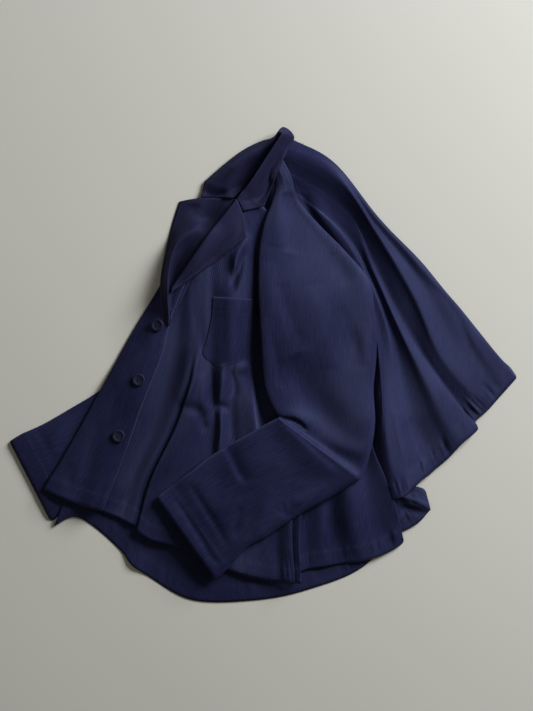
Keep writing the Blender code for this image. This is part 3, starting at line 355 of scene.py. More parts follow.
# CREASES.  For each piece: height of the ridge, or depth of the trough if negative, its width to the
# left and to the right of someone who walks along it, and the points (x, y) it passes.
CREASES = {
    "back": (
        (-3.0, 6, 5, ((56, 257), (62, 242), (70, 228), (80, 214), (92, 201), (112, 177), (134, 151))),
        (3.0, 13, 8, ((72, 262), (76, 246), (84, 226), (101, 201), (118, 176), (137, 150))),
        (-2.5, 5, 9, ((236, 138), (252, 118), (272, 98), (290, 74), (302, 48), (312, 25), (328, 0),
         (346, -24))),
        (1.5, 8, 10, ((200, -70), (205, -110), (218, -150))),
        (-1.5, 12, 8, ((222, -80), (238, -110), (256, -140))),
        (1.4, 10, 12, ((250, -60), (276, -95), (296, -118))),
        (-3.5, 3, 6, ((206, -214), (220, -217), (236, -220), (250, -223))),
        (1.6, 5, 5, ((198, -204), (214, -200), (232, -192), (242, -190))),
    ),
    "front_left": (
        (3.0, 7, 8, ((-92, -14), (-91, -35), (-90, -55), (-84, -72), (-82, -92))),
        (-2.0, 5, 6, ((-79, -10), (-77, -28), (-76, -48), (-74, -64))),
        (3.5, 9, 9, ((-62, -2), (-61, -20), (-61, -40), (-63, -60))),
        (-2.5, 7, 6, ((-118, -62), (-106, -67), (-94, -74), (-84, -82))),
        (-3.0, 4, 6, ((-93, -76), (-90, -88), (-88, -102))),
        (-3.0, 5, 5, ((-72, -66), (-62, -64), (-52, -68))),
        (-2.0, 6, 5, ((-72, -68), (-72, -95), (-76, -120), (-77, -142), (-82, -168))),
        (2.5, 6, 5, ((-64, -70), (-64, -95), (-67, -120), (-71, -142))),
        (4.5, 8, 17, ((-97, 26), (-102, 2), (-105, -22), (-112, -46), (-120, -62))),
        (-3.0, 6, 7, ((-56, -6), (-50, -16), (-44, -30), (-42, -50))),
        (3.0, 8, 8, ((-44, -4), (-33, -6), (-22, -2))),
        (5.0, 5, 7, ((-22, 192), (-29, 179), (-36, 163), (-41, 148), (-42, 134))),
        (-5.0, 5, 5, ((-30, 174), (-34, 157), (-38, 140), (-42, 126), (-47, 112))),
        (-4.5, 8, 14, ((-53, 166), (-52, 146), (-50, 128), (-50, 110))),
    ),
    "front_right": (
        (-1.2, 8, 10, ((-248, -84), (-257, -126), (-264, -170))),
        (1.0, 12, 10, ((-226, -60), (-244, -110), (-262, -160))),
        (-0.8, 5, 6, ((-172, 40), (-182, 8), (-200, -48), (-222, -104), (-240, -160))),
        (1.2, 10, 8, ((-190, 30), (-205, 0), (-224, -36))),
        (-1.2, 6, 8, ((-286, -150), (-290, -170), (-292, -196))),
    ),
    "facing_right": (
        (3.0, 6, 9, ((-88, 206), (-104, 196), (-120, 187), (-133, 177), (-140, 162), (-142, 140), (-142, 105),
         (-143, 72))),
        (-2.0, 9, 9, ((-104, 240), (-104, 226), (-97, 210))),
        (-1.2, 7, 8, ((-86, 236), (-89, 216), (-93, 197), (-101, 180))),
    ),
    "facing_left": (
        (-0.8, 12, 12, ((-50, 206), (-72, 178), (-96, 150))),
    ),
    "collar": (
        (-2.5, 8, 9, ((-50, 256), (-38, 274), (-22, 293), (-6, 306))),
        (-1.2, 6, 7, ((-70, 262), (-60, 276), (-46, 292))),
        (0.8, 5, 5, ((-4, 300), (-14, 282), (-26, 262))),
    ),
    "sleeve_right": (
        (-1.4, 4, 5, ((-344, -94), (-332, -112), (-322, -130), (-316, -148))),
        (1.0, 8, 10, ((-300, -80), (-312, -105), (-326, -140))),
        (-1.0, 10, 8, ((-268, -60), (-284, -90), (-304, -128))),
        (1.0, 6, 8, ((-338, -196), (-322, -210), (-306, -222))),
    ),
    "sleeve_left": (
        (-3.5, 20, 8, ((34, 256), (36, 238), (39, 216), (40, 192), (36, 168))),
        (2.0, 10, 12, ((24, 262), (24, 235), (22, 205), (20, 175))),
        (-5.0, 26, 20, ((40, 10), (46, -8), (56, -32), (66, -50), (82, -68), (104, -88), (126, -105),
         (152, -120))),
        (2.0, 12, 9, ((84, -106), (108, -120), (132, -130), (155, -137))),
        (3.0, 12, 4, ((24, -76), (44, -78), (57, -84), (65, -95))),
        (-3.0, 3, 3, ((26, -81), (44, -84), (57, -91), (64, -100))),
        (3.0, 7, 22, ((24, -91), (38, -102), (62, -125), (90, -150), (112, -170))),
        (-3.5, 12, 4, ((-58, -122), (-47, -142), (-38, -162), (-26, -180))),
        (-2.0, 6, 4, ((-112, -178), (-98, -200), (-84, -222), (-68, -248), (-54, -276))),
        (-2.4, 3, 5, ((-136, -198), (-120, -218), (-106, -240), (-90, -266), (-76, -290), (-62, -302))),
        (2.0, 10, 10, ((14, -186), (4, -212), (-6, -238), (-10, -258))),
        (-2.0, 7, 7, ((-34, -214), (-41, -236), (-44, -260))),
        (-1.5, 3, 3, ((26, -206), (32, -219), (39, -232))),
        (-1.5, 3, 3, ((41, -203), (40, -217), (39, -231))),
        (-1.4, 3, 3, ((54, -208), (47, -217), (40, -229))),
        (-1.2, 3, 3, ((16, -216), (28, -223), (38, -230))),
        (2.0, 8, 8, ((96, -184), (70, -196), (46, -208))),
        (-1.8, 14, 14, ((108, 168), (114, 145), (126, 120))),
        (-1.8, 12, 8, ((26, 120), (34, 86), (46, 50), (52, 20))),
        (2.0, 14, 16, ((74, 116), (84, 72), (94, 30), (100, -6))),
        (-1.6, 10, 12, ((116, 86), (127, 52), (136, 20), (140, -8))),
        (1.6, 8, 8, ((146, 60), (152, 30), (154, -2))),
        (-1.8, 8, 6, ((12, 48), (16, 18), (22, -12), (26, -36))),
        (1.4, 8, 8, ((8, 150), (10, 110), (10, 70))),
    ),
}

# GRIDS.  For each piece: 1 where the step to the next line cross the step to the next place points
# out of the cloth and -1 where it points in, the seed of its unevenness, how far apart its lines are,
# and the steps between each station and the next.  A sleeve's lines are sections and its stations go
# round it; the pocket has a number of lines instead of a distance.
GRIDS = {
    "sleeve_right": (-1, 11, 5.0, TUBE_UPPER + TUBE_LOWER),
    "back_under": (-1, 21, 4.5, (5, 5, 6, 8, 34)),
    "back": (-1, 22, 4.5, (24, 26, 26, 26, 34)),
    "front_left": (-1, 31, 4.0, (22, 24, 24, 24, 28)),
    "front_right": (-1, 41, 4.0, (24, 24, 24, 24, 28)),
    "pocket": (-1, 51, 27, (10, 14, 10, 8)),
    "facing_right": (-1, 61, 3.5, (16, 14, 16, 12, 12)),
    "facing_left": (-1, 71, 3.5, (12, 12, 14, 14, 10)),
    "sleeve_left": (1, 81, 4.0, TUBE_UPPER + TUBE_LOWER),
    "collar": (1, 91, 3.0, (8, 10, 10)),
}
SIDE = {name: row[0] for name, row in GRIDS.items()}


def through(points, steps, corners=()):
    """A smooth line through the points on the first axis, turning sharply at the corners.

    Between two points it is the cubic that meets both, with the centripetal Catmull-Rom slope at
    each end; steps holds the number of pieces between each point and the next.
    """
    for corner in corners:
        before = through(points[: corner + 1], steps[:corner], [c for c in corners if c < corner])
        after = through(points[corner:], steps[corner:], [c - corner for c in corners if c > corner])
        return np.concatenate([before[:-1], after])
    first = 2 * points[0] - points[1]
    last = 2 * points[-1] - points[-2]
    p = np.concatenate([first[None], points, last[None]])
    gap = np.sqrt(np.linalg.norm(p[1:] - p[:-1], axis=-1, keepdims=True)) + 1e-3
    run = []
    for i in range(len(points) - 1):
        p0, p1, p2, p3 = p[i], p[i + 1], p[i + 2], p[i + 3]
        a, b, c = gap[i], gap[i + 1], gap[i + 2]
        start = b * ((p1 - p0) / a - (p2 - p0) / (a + b) + (p2 - p1) / b)
        end = b * ((p2 - p1) / b - (p3 - p1) / (b + c) + (p3 - p2) / c)
        t = (np.arange(steps[i]) / steps[i]).reshape((-1,) + (1,) * p1.ndim)
        run.append(
            (2 * t**3 - 3 * t**2 + 1) * p1
            + (t**3 - 2 * t**2 + t) * start
            + (3 * t**2 - 2 * t**3) * p2
            + (t**3 - t**2) * end
        )
    run.append(points[-1][None])
    return np.concatenate(run)


def panel(name, rows):
    """The surface of a panel, (line, place down it, xyz), from its table of lines down the cloth.

    It is the smooth line through each row's stations, then through the rows at each place; the
    cloth turns sharply at rows called corners.
    """
    _, _, pitch, along = GRIDS[name]
    lines = np.array([row[1:] for row in rows], float)
    lines = through(lines.transpose(1, 0, 2), along).transpose(1, 0, 2)
    widest = np.linalg.norm(lines[1:, :, :2] - lines[:-1, :, :2], axis=-1).max(axis=1)
    steps = np.maximum(np.ceil(widest / pitch).astype(int), 2)
    corners = [i for i, row in enumerate(rows) if "corner" in row[0] and 0 < i < len(rows) - 1]
    return through(lines, steps, corners)


def tube(name, rows, flat):
    """The surface of a flattened sleeve, (section, place round it, xyz), its last place the first.

    Each section runs over the top from its left end to its right end and back underneath: on the
    surface if the sleeve is flat, else TUBE_DEPTH below the upper side.
    """
    _, _, pitch, around = GRIDS[name]
    sections = []
    for _, left, right, heights, slip in rows:
        left, right, slip = (np.array(point, float) for point in (left, right, slip))
        width = right - left
        length = np.linalg.norm(width)
        right_turn = min(RIGHT_ROUNDING / length, RIGHT_SHARE)
        places = np.array([0.0, LEFT_ROUNDING / length, *TUBE_PLACES, 1 - right_turn, 1.0])
        share = np.array([0.0, TUBE_RISE, 1, 1, 1, TUBE_RISE, 0.0])
        middle = np.array([heights[1]] * 3 + [heights[2]] + [heights[3]] * 3)
        ends = np.array([heights[0]] * 3 + [heights[2]] + [heights[4]] * 3)
        high = ends + (middle - ends) * share
        upper = np.column_stack([left + places[:, None] * width, high])
        low = places[1:-1][::-1]
        height_low = np.zeros(len(low)) if flat else high[1:-1][::-1] - TUBE_DEPTH
        moved = np.clip((low - 0.5) * 2, 0, 1)[:, None] * slip
        lower = np.column_stack([left + low[:, None] * width + moved, height_low])
        sections.append(np.concatenate([upper, lower]))
    sections = np.array(sections)
    step = np.linalg.norm(sections[1:, :, :2] - sections[:-1, :, :2], axis=-1).max(axis=1)
    corners = [i for i, row in enumerate(rows) if "corner" in row[0]]
    sections = through(sections, np.ceil(step / pitch).astype(int), corners)
    loop = sections.transpose(1, 0, 2)
    loop = np.concatenate([loop, loop[:1]])
    return through(loop, around).transpose(1, 0, 2)


class Pile:
    """Height of the highest cloth so far over each cell of the surface the garment lies on."""

    def __init__(self):
        cells = int(2 * HALF_SPAN / CELL)
        self.top = np.zeros((cells, cells))

    def cells(self, points):
        """The cell under each point."""
        index = ((points[..., :2] + HALF_SPAN) / CELL).astype(int)
        return index[..., 0], index[..., 1]

    def add(self, grid):
        """Record a surface, filled in with points closer than a cell."""
        points = filled(grid, FILL)
        np.maximum.at(self.top, self.cells(points), points[..., 2])

    def widened(self, reach):
        """The map with each cell raised to the highest of its neighbours within reach."""
        wide = self.top.copy()
        for shift in ring(reach):
            wide = np.maximum(wide, np.roll(self.top, shift, axis=(0, 1)))
        return wide

    def under(self, x, y, reach=SPREAD):
        """Height that cloth at x, y has to clear, nothing at all where it lies on the surface.

        It is the widened map, evened out over the cells within reach and read between their
        middles in straight lines, and a gap more.
        """
        wide = self.widened(reach)
        near = ring(reach)
        even = sum(np.roll(wide, shift, axis=(0, 1)) for shift in near) / len(near)
        fx = (x + HALF_SPAN) / CELL - 0.5
        fy = (y + HALF_SPAN) / CELL - 0.5
        ix = fx.astype(int)
        iy = fy.astype(int)
        fx = fx - ix
        fy = fy - iy
        height = (
            even[ix, iy] * (1 - fx) * (1 - fy)
            + even[ix + 1, iy] * fx * (1 - fy)
            + even[ix, iy + 1] * (1 - fx) * fy
            + even[ix + 1, iy + 1] * fx * fy
        )
        return np.where(height > BARE, height + GAP, 0.0)


def ring(reach):
    """The cells within reach of one, as shifts."""
    around = range(-reach, reach + 1)
    return [(i, j) for i in around for j in around if i * i + j * j <= reach * reach + 1]


def filled(grid, reach):
    """A grid's surface as points closer together than reach, straight between its own points."""
    for axis in (0, 1):
        grid = grid.swapaxes(0, axis)
        gaps = np.linalg.norm(np.diff(grid, axis=0), axis=-1).max(axis=1)
        counts = np.maximum(np.ceil(gaps / reach).astype(int), 1)
        place = np.concatenate([i + np.arange(n) / n for i, n in enumerate(counts)] + [[len(counts)]])
        first = np.minimum(place.astype(int), len(counts) - 1)
        share = (place - first)[:, None, None]
        grid = (grid[first] * (1 - share) + grid[first + 1] * share).swapaxes(0, axis)
    return grid


def lay(grid, pile):
    """A panel raised over all that lies under it, its own folds keeping their distances."""
    laid = grid.copy()
    laid[..., 2] += pile.under(grid[..., 0], grid[..., 1])
    return laid


def settle_tube(grid, pile, reach=9, third=0.34):
    """A sleeve left at its own height, but tilted and lifted, both sides alike, where it would cut in.

    Each section is lifted by one amount at its left end, one in the middle and one at its right end:
    the most that its points in that third need, carried on to the sections within reach and then
    evened out over them.
    """
    left, right = grid[:, :1, :2], grid[:, RIGHT_END : RIGHT_END + 1, :2]
    width = right - left
    share = ((grid[..., :2] - left) * width).sum(axis=-1) / (width * width).sum(axis=-1)
    share = np.clip(share, 0.0, 1.0)
    need = np.maximum(pile.under(grid[..., 0], grid[..., 1]) + TUBE_CLEARANCE - grid[..., 2], 0.0)
    lift = [np.where(abs(share - place) < third, need, 0.0).max(axis=1) for place in (0, 0.5, 1)]
    lift = np.array(lift)
    for blend in (np.max, np.mean):
        padded = np.pad(lift, ((0, 0), (reach, reach)), mode="edge")
        lift = blend([padded[:, k : k + lift.shape[1]] for k in range(2 * reach + 1)], axis=0)
    near = np.clip(1 - 2 * share, 0, 1)
    far = np.clip(2 * share - 1, 0, 1)
    laid = grid.copy()
    left_lift, middle_lift, right_lift = lift[:, :, None]
    laid[..., 2] += near * left_lift + (1 - near - far) * middle_lift + far * right_lift
    return laid


def settle(grid, pile, depth):
    """A piece left at its own height, but lifted where that would cut into what is under it.

    With d its height over what it has to clear, it is put at half of d plus the root of d squared
    plus one, so that the one case passes smoothly into the other.
    """
    laid = grid.copy()
    need = pile.under(grid[..., 0], grid[..., 1]) + depth
    over = laid[..., 2] - need
    laid[..., 2] = need + 0.5 * (over + np.sqrt(over * over + 1.0))
    return laid


def seat(grid, pile):
    """A piece lowered until it is a gap above the cloth it is sewn to.

    None of it goes lower than a wall's thickness over the surface that the garment lies on.
    """
    points = filled(grid, FILL)
    floor = pile.top[pile.cells(points)]
    drop = (points[..., 2] - WALL - floor)[floor > BARE].min() - GAP
    laid = grid.copy()
    laid[..., 2] = np.maximum(laid[..., 2] - max(drop, 0.0), np.minimum(laid[..., 2], WALL + 0.1))
    return laid


def joined(grid, first_edge, last_edge, roll, reach=18.0):
    """The collar with its two ends brought level with the tops of the lapels it is sewn to.

    Over the last stretch to each end its height goes over, by a smooth step, to that of the nearest
    point of the lapel's top edge.  From the roll line down to the neck seam the change dies away.
    """
    spread = measured(grid)
    laid = grid.copy()
    places = np.arange(grid.shape[1])
    for edge, row, top in (("first", 0, first_edge), ("last", -1, last_edge)):
        away = np.linalg.norm(grid[row][:, None, :2] - top[None, :, :2], axis=-1)
        change = top[away.argmin(axis=1), 2] - grid[row][:, 2]
        change = np.where(places < roll, change[roll], change) * np.clip(places / roll, 0, 1)
        share = np.clip(1 - spread[edge] / reach, 0, 1)
        laid[..., 2] += share * share * (3 - 2 * share) * change
    return laid


def normals(grid, side):
    """Unit vectors out of the cloth: the cross product of the steps across and down, over its length."""
    out = side * np.cross(np.gradient(grid, axis=0), np.gradient(grid, axis=1))
    return out / (np.linalg.norm(out, axis=-1, keepdims=True) + 1e-9)


def measured(grid):
    """Distance of each point from the four edges of its grid, along the grid's own lines."""
    down = np.linalg.norm(np.diff(grid, axis=1), axis=-1)
    down = np.concatenate([np.zeros((len(grid), 1)), down.cumsum(axis=1)], axis=1)
    across = np.linalg.norm(np.diff(grid, axis=0), axis=-1)
    across = np.concatenate([np.zeros((1, grid.shape[1])), across.cumsum(axis=0)])
    return {"top": down, "hem": down[:, -1:] - down, "first": across, "last": across[-1:] - across}


def creased(grid, creases, steps=6):
    """Height added by creases: each a ridge or trough along a line, with its own slope on each side.

    The height is h times exp(-(d/w) squared), where d is the distance from the line and w the width
    on that side of it, and it dies away towards both ends as the root of a sine.
    """
    total = np.zeros(grid.shape[:2])
    for height, left_width, right_width, points in creases:
        line = through(np.array(points, float), [steps] * (len(points) - 1))
        start, step = line[:-1], line[1:] - line[:-1]
        middle = line.mean(axis=0)
        near = np.linalg.norm(line - middle, axis=1).max() + 3 * max(left_width, right_width)
        rows = np.linalg.norm(grid[..., :2] - middle, axis=-1) < near
        away = grid[rows][:, None, :2] - start
        share = np.clip((away * step).sum(axis=-1) / (step * step).sum(axis=-1), 0, 1)
        away = away - share[..., None] * step
        distance = np.linalg.norm(away, axis=-1)
        nearest = distance.argmin(axis=1)
        pick = (np.arange(len(nearest)), nearest)
        turn = step[nearest, 0] * away[pick][:, 1] - step[nearest, 1] * away[pick][:, 0]
        width = np.where(turn > 0, left_width, right_width)
        place = (nearest + share[pick]) / len(start)
        fade = np.sqrt(np.sin(np.pi * np.clip(place, 0.0, 1.0)) + 1e-4)
        total[rows] += height * fade * np.exp(-((distance[pick] / width) ** 2))
    return total


def waves(place, lengths, seed):
    """An uneven wave along a line: the mean of sines of the given lengths with seeded phases."""
    phases = np.random.default_rng(seed).uniform(0, 2 * np.pi, len(lengths))
    return sum(np.sin(2 * np.pi * place / n + p) for n, p in zip(lengths, phases)) / len(lengths)


def uneven(across, down, seed, count=7, shortest=45, longest=150, lean=0.5):
    """The cloth's gentle unevenness: the mean of plane waves with seeded lengths and directions.

    A wave 100 mm long is one high, and the others are high in proportion to their length.
    """
    chance = np.random.default_rng(seed)
    total = 0
    for _ in range(count):
        length = chance.uniform(shortest, longest)
        angle = chance.uniform(-lean, lean)
        run = across * math.cos(angle) + 0.5 * down * math.sin(angle)
        total = total + np.sin(2 * np.pi * run / length + chance.uniform(0, 6.28)) * length / 100
    return total / count


STEP_SLOPE = 0.7        # a hem's inner step goes up within a few times this
EDGE_ROUND = 2.5        # a folded edge is rounded off within this
GROOVE_DEPTH = 0.35     # what a line of stitches pulls in
GROOVE_WIDTH = 1.3
PUCKERS = (7.0, 9.5, 13.0, 19.0, 31.0)      # lengths of the waves that make up the puckers
STRETCHES = (60.0, 97.0, 143.0)             # and of those that make them stronger and weaker


def hemmed(distance, along, edge, seed):
    """Height of a doubled, stitched edge over the cloth beside it.

    A step at the edge's depth, the edge itself rounded off, a groove along each line of stitches, and
    puckers across the stitches that fade on both sides of them.
    """
    depth, rise, lines, pucker, reach = edge
    height = rise / (1 + np.exp(np.clip((distance - depth) / STEP_SLOPE, -30, 30)))
    height -= (2 * rise + 0.1) * np.clip(1 - distance / EDGE_ROUND, 0, 1) ** 2
    for line in lines:
        height -= GROOVE_DEPTH * np.exp(-(((distance - line) / GROOVE_WIDTH) ** 2))
    if pucker:
        fine = waves(along, PUCKERS, seed)
        strength = np.clip(0.6 + 0.8 * waves(along, STRETCHES, seed + 1), 0, 1.6)
        fade = np.exp(-(((distance - depth * 0.7) / reach) ** 2))
        height += pucker * 2.2 * fine * strength * fade
    return height


def on_grid(grid, path):
    """Points of a surface at fractional places (line, place down it), straight between its own."""
    first = np.minimum(path.astype(int), np.array(grid.shape[:2]) - 2)
    share = path - first
    a, b = share[:, :1], share[:, 1:]
    i, j = first[:, 0], first[:, 1]
    return (
        grid[i, j] * (1 - a) * (1 - b)
        + grid[i + 1, j] * a * (1 - b)
        + grid[i, j + 1] * (1 - a) * b
        + grid[i + 1, j + 1] * a * b
    )


def on_top(grid, line):
    """Points of a surface under a line drawn from above.

    Their height is the mean of the four nearest, weighted by one over their distance and 0.3 mm.
    """
    flat = grid.reshape(-1, 3)
    away = np.linalg.norm(line[:, None] - flat[None, :, :2], axis=-1)
    near = np.argpartition(away, 4, axis=1)[:, :4]
    weight = 1 / (np.take_along_axis(away, near, axis=1) + 0.3)
    high = (flat[near, 2] * weight).sum(axis=1) / weight.sum(axis=1)
    return np.column_stack([line, high])


def on_slopes(grid, points, reach=3.0):
    """Height of a surface over or under each point, from the sloping planes at its own points nearby.

    Each plane counts exp(-(d/reach) squared), where d is its distance from the point.
    """
    a, b = np.gradient(grid, axis=0), np.gradient(grid, axis=1)
    det = a[..., 0] * b[..., 1] - a[..., 1] * b[..., 0]
    slope_x = (a[..., 2] * b[..., 1] - b[..., 2] * a[..., 1]) / det
    slope_y = (b[..., 2] * a[..., 0] - a[..., 2] * b[..., 0]) / det
    low = points[..., :2].min(axis=(0, 1)) - 4 * reach
    high = points[..., :2].max(axis=(0, 1)) + 4 * reach
    used = ((grid[..., :2] > low) & (grid[..., :2] < high)).all(axis=-1)
    base, slope = grid[used], np.stack([slope_x, slope_y], axis=-1)[used]
    away = points[..., None, :2] - base[:, :2]
    weight = np.exp(-(away * away).sum(axis=-1) / reach**2)
    return (weight * (base[:, 2] + (away * slope).sum(axis=-1))).sum(axis=-1) / weight.sum(axis=-1)


def line_from_edge(distances, edge, value):
    """Places on a grid that are a given distance from one of its edges."""
    far = distances[edge]
    if edge in ("top", "hem"):
        far = far if edge == "top" else -far
        value = value if edge == "top" else -value
        places = [np.interp(value, row, np.arange(len(row))) for row in far]
        return np.column_stack([np.arange(len(far)), places])
    far = far if edge == "first" else -far
    value = value if edge == "first" else -value
    places = [np.interp(value, row, np.arange(len(row))) for row in far.T]
    return np.column_stack([places, np.arange(far.shape[1])])


SPINDLE_RINGS = ((-0.5, 0.35), (-0.3, 1.0), (0.3, 1.0), (0.5, 0.35))    # place along it, radius
SPINDLE_SIDES = 5


def stitches(points, outward, pitch=3.2, length=2.3, radius=0.25):
    """Vertices and faces of a row of stitches: spindles laid end to end along a line on the cloth.

    A spindle is a ring of SPINDLE_SIDES points at each place of SPINDLE_RINGS, sunk in the cloth by
    0.6 of its radius.
    """
    lengths = np.linalg.norm(np.diff(points, axis=0), axis=1)
    run = np.concatenate([[0], lengths.cumsum()])
    centres = np.arange(0.5 * pitch, run[-1], pitch)

    def at(place, values):
        return np.column_stack([np.interp(place, run, values[:, k]) for k in range(3)])

    middle = at(centres, points)
    ahead = at(centres + 0.5 * length, points) - at(centres - 0.5 * length, points)
    ahead /= np.linalg.norm(ahead, axis=1, keepdims=True) + 1e-9
    up = at(centres, outward)
    beside = np.cross(ahead, up)
    beside /= np.linalg.norm(beside, axis=1, keepdims=True) + 1e-9
    up = np.cross(beside, ahead)
    n = SPINDLE_SIDES
    angles = np.arange(n) * 2 * np.pi / n
    shape = np.array([
        (x * length, r * radius * math.cos(t), r * radius * math.sin(t))
        for x, r in SPINDLE_RINGS
        for t in angles
    ])
    vertices = (
        middle[:, None]
        + shape[None, :, :1] * ahead[:, None]
        + shape[None, :, 1:2] * beside[:, None]
        + (shape[None, :, 2:] + 0.4 * radius) * up[:, None]
    )
    bands = len(SPINDLE_RINGS) - 1
    one = np.array([
        (r * n + k, r * n + (k + 1) % n, (r + 1) * n + (k + 1) % n, (r + 1) * n + k)
        for r in range(bands)
        for k in range(n)
    ])
    ends = np.array([list(range(n))[::-1], list(range(bands * n, (bands + 1) * n))])
    offsets = (np.arange(len(centres)) * len(shape))[:, None, None]
    faces = (one[None] + offsets).reshape(-1, 4).tolist() + (ends[None] + offsets).reshape(-1, n).tolist()
    return vertices.reshape(-1, 3), faces


def linear(text):
    """An sRGB hex colour as linear red, green and blue, with full alpha."""
    parts = [int(text[i : i + 2], 16) / 255 for i in (1, 3, 5)]
    return tuple(((c + 0.055) / 1.055) ** 2.4 if c > 0.04045 else c / 12.92 for c in parts) + (1.0,)


def node(tree, kind, inputs=None, **settings):
    """Add a node with its settings; inputs maps a socket's name to a value or to another's output."""
    made = tree.nodes.new(kind)
    for name, value in settings.items():
        setattr(made, name, value)
    for name, value in (inputs or {}).items():
        if isinstance(value, bpy.types.NodeSocket):
            tree.links.new(value, made.inputs[name])
        else:
            made.inputs[name].default_value = value
    return made


def new_material(name):
    """An empty material with its output: the material, its tree, its shader and its output node."""
    material = bpy.data.materials.new(name)
    material.use_nodes = True
    tree = material.node_tree
    tree.nodes.clear()
    shader = node(tree, "ShaderNodeBsdfPrincipled")
    node(tree, "ShaderNodeOutputMaterial", {"Surface": shader.outputs["BSDF"]})
    return material, tree, shader


def coloured(tree, shader, amount, dark, light):
    """Colour a material from dark to light by the amount that a socket gives."""
    mix = node(tree, "ShaderNodeMix", {0: amount, 6: linear(dark), 7: linear(light)}, data_type="RGBA")
    tree.links.new(mix.outputs[2], shader.inputs["Base Color"])


def embossed(tree, shader, height, strength, depth_mm):
    """Give a material the relief of a socket's height."""
    bump = node(tree, "ShaderNodeBump", {"Height": height, "Strength": strength, "Distance": depth_mm * MM})
    tree.links.new(bump.outputs[0], shader.inputs["Normal"])


SLUBS = (520.0, 40.0, 1.0)      # in a metre across the warp, along it and out of the cloth
TWILL_ANGLE = 27.0              # of the twill's lines to the weft, in degrees
WAVE_RADIANS = 20.0             # a wave texture of scale 1 turns through this in a metre


def cotton_drill(name, dark, light, gloss, line_mm=4.4):
    """Piece-dyed cotton drill: a matt steep twill with slubs along the warp, brighter across the warp.

    The real twill repeats about every 0.6 mm, too fine for the picture, so it is drawn 4.4 mm apart
    and faint.  Slubs are 2 mm wide and 25 mm long, patches of uneven dye 140 mm, fuzz 1.1 mm.
    """
    material, tree, shader = new_material(name)
    cloth = node(tree, "ShaderNodeUVMap", uv_map="cloth")
    place = node(tree, "ShaderNodeTexCoord")
    warp = node(tree, "ShaderNodeMapping", {"Vector": cloth.outputs["UV"], "Scale": SLUBS})
    slubs = node(tree, "ShaderNodeTexNoise", {"Vector": warp.outputs[0], "Scale": 1.0, "Detail": 3.0})
    lean = (0.0, 0.0, math.radians(TWILL_ANGLE))
    turned = node(tree, "ShaderNodeMapping", {"Vector": cloth.outputs["UV"], "Rotation": lean})
    twill = node(tree, "ShaderNodeTexWave", {
        "Vector": turned.outputs[0],
        "Scale": 2 * math.pi / WAVE_RADIANS / (line_mm * MM),
        "Distortion": 0.6,
        "Detail": 1.0,
    })
    patches = node(tree, "ShaderNodeTexNoise", {
        "Vector": place.outputs["Object"],
        "Scale": 7.0,
        "Detail": 5.0,
    })
    faint = node(tree, "ShaderNodeMath", {0: slubs.outputs[0], 1: 0.4}, operation="MULTIPLY")
    patchy = node(
        tree, "ShaderNodeMath", {0: patches.outputs[0], 1: 0.6, 2: faint.outputs[0]}, operation="MULTIPLY_ADD"
    )
    ramp = node(tree, "ShaderNodeMapRange", {"Value": patchy.outputs[0], "From Min": 0.36, "From Max": 0.64})
    coloured(tree, shader, ramp.outputs[0], dark, light)
    fuzz = node(tree, "ShaderNodeTexNoise", {
        "Vector": place.outputs["Object"],
        "Scale": 900.0,
        "Detail": 2.0,
    })
    relief = slubs.outputs[0]
    for texture, share in ((twill.outputs[1], 0.35), (fuzz.outputs[0], 0.5)):
        sockets = {0: texture, 1: share, 2: relief}
        relief = node(tree, "ShaderNodeMath", sockets, operation="MULTIPLY_ADD").outputs[0]
    embossed(tree, shader, relief, 0.6, 0.4)
    across = node(tree, "ShaderNodeTangent", direction_type="UV_MAP", uv_map="cloth")
    tree.links.new(across.outputs[0], shader.inputs["Tangent"])
    shader.inputs["Anisotropic"].default_value = 0.9
    shader.inputs["Roughness"].default_value = 0.68
    shader.inputs["Specular IOR Level"].default_value = gloss
    shader.inputs["Specular Tint"].default_value = linear("#a0b4ea")
    shader.inputs["Sheen Weight"].default_value = 0.04
    shader.inputs["Sheen Roughness"].default_value = 0.45
    shader.inputs["Sheen Tint"].default_value = linear("#9ca4e0")
    return material


def clouded(name, dark, light, cloud, grain, relief, roughness, gloss=0.5):
    """A material in clouds of two colours with a grain as its relief.

    cloud and grain are noises, each its size in millimetres, its detail and its distortion; relief
    is the strength and the depth in millimetres of the grain.
    """
    material, tree, shader = new_material(name)
    place = node(tree, "ShaderNodeTexCoord")
    noises = [
        node(tree, "ShaderNodeTexNoise", {
            "Vector": place.outputs["Object"],
            "Scale": 1 / (size_mm * MM),
            "Detail": detail,
            "Distortion": distortion,
        })
        for size_mm, detail, distortion in (cloud, grain)
    ]
    coloured(tree, shader, noises[0].outputs[0], dark, light)
    embossed(tree, shader, noises[1].outputs[0], *relief)
    shader.inputs["Roughness"].default_value = roughness
    shader.inputs["Specular IOR Level"].default_value = gloss
    return material


def cotton_thread(name, dark, light):
    """Mercerised sewing thread, a shade lighter and smoother than the drill, twisted every 1 mm."""
    twist = (1.0, 1.0, 0.0)
    return clouded(name, dark, light, twist, twist, (0.4, 0.2), 0.6)


def moulded_resin(name, dark, light):
    """Cast polyester resin made to look like horn: clouds of 6 mm, a satin skin grained at 0.7 mm."""
    return clouded(name, dark, light, (6.25, 4.0, 1.5), (2 / 3, 2.0, 0.0), (0.15, 0.1), 0.6, 0.2)


def painted_board(name, dark, light):
    """Matt painted board: pale warm grey, clouded over half a metre, with a faint 2 mm roller texture."""
    return clouded(name, dark, light, (500.0, 3.0, 0.0), (2.0, 2.0, 0.0), (0.1, 0.3), 0.8)


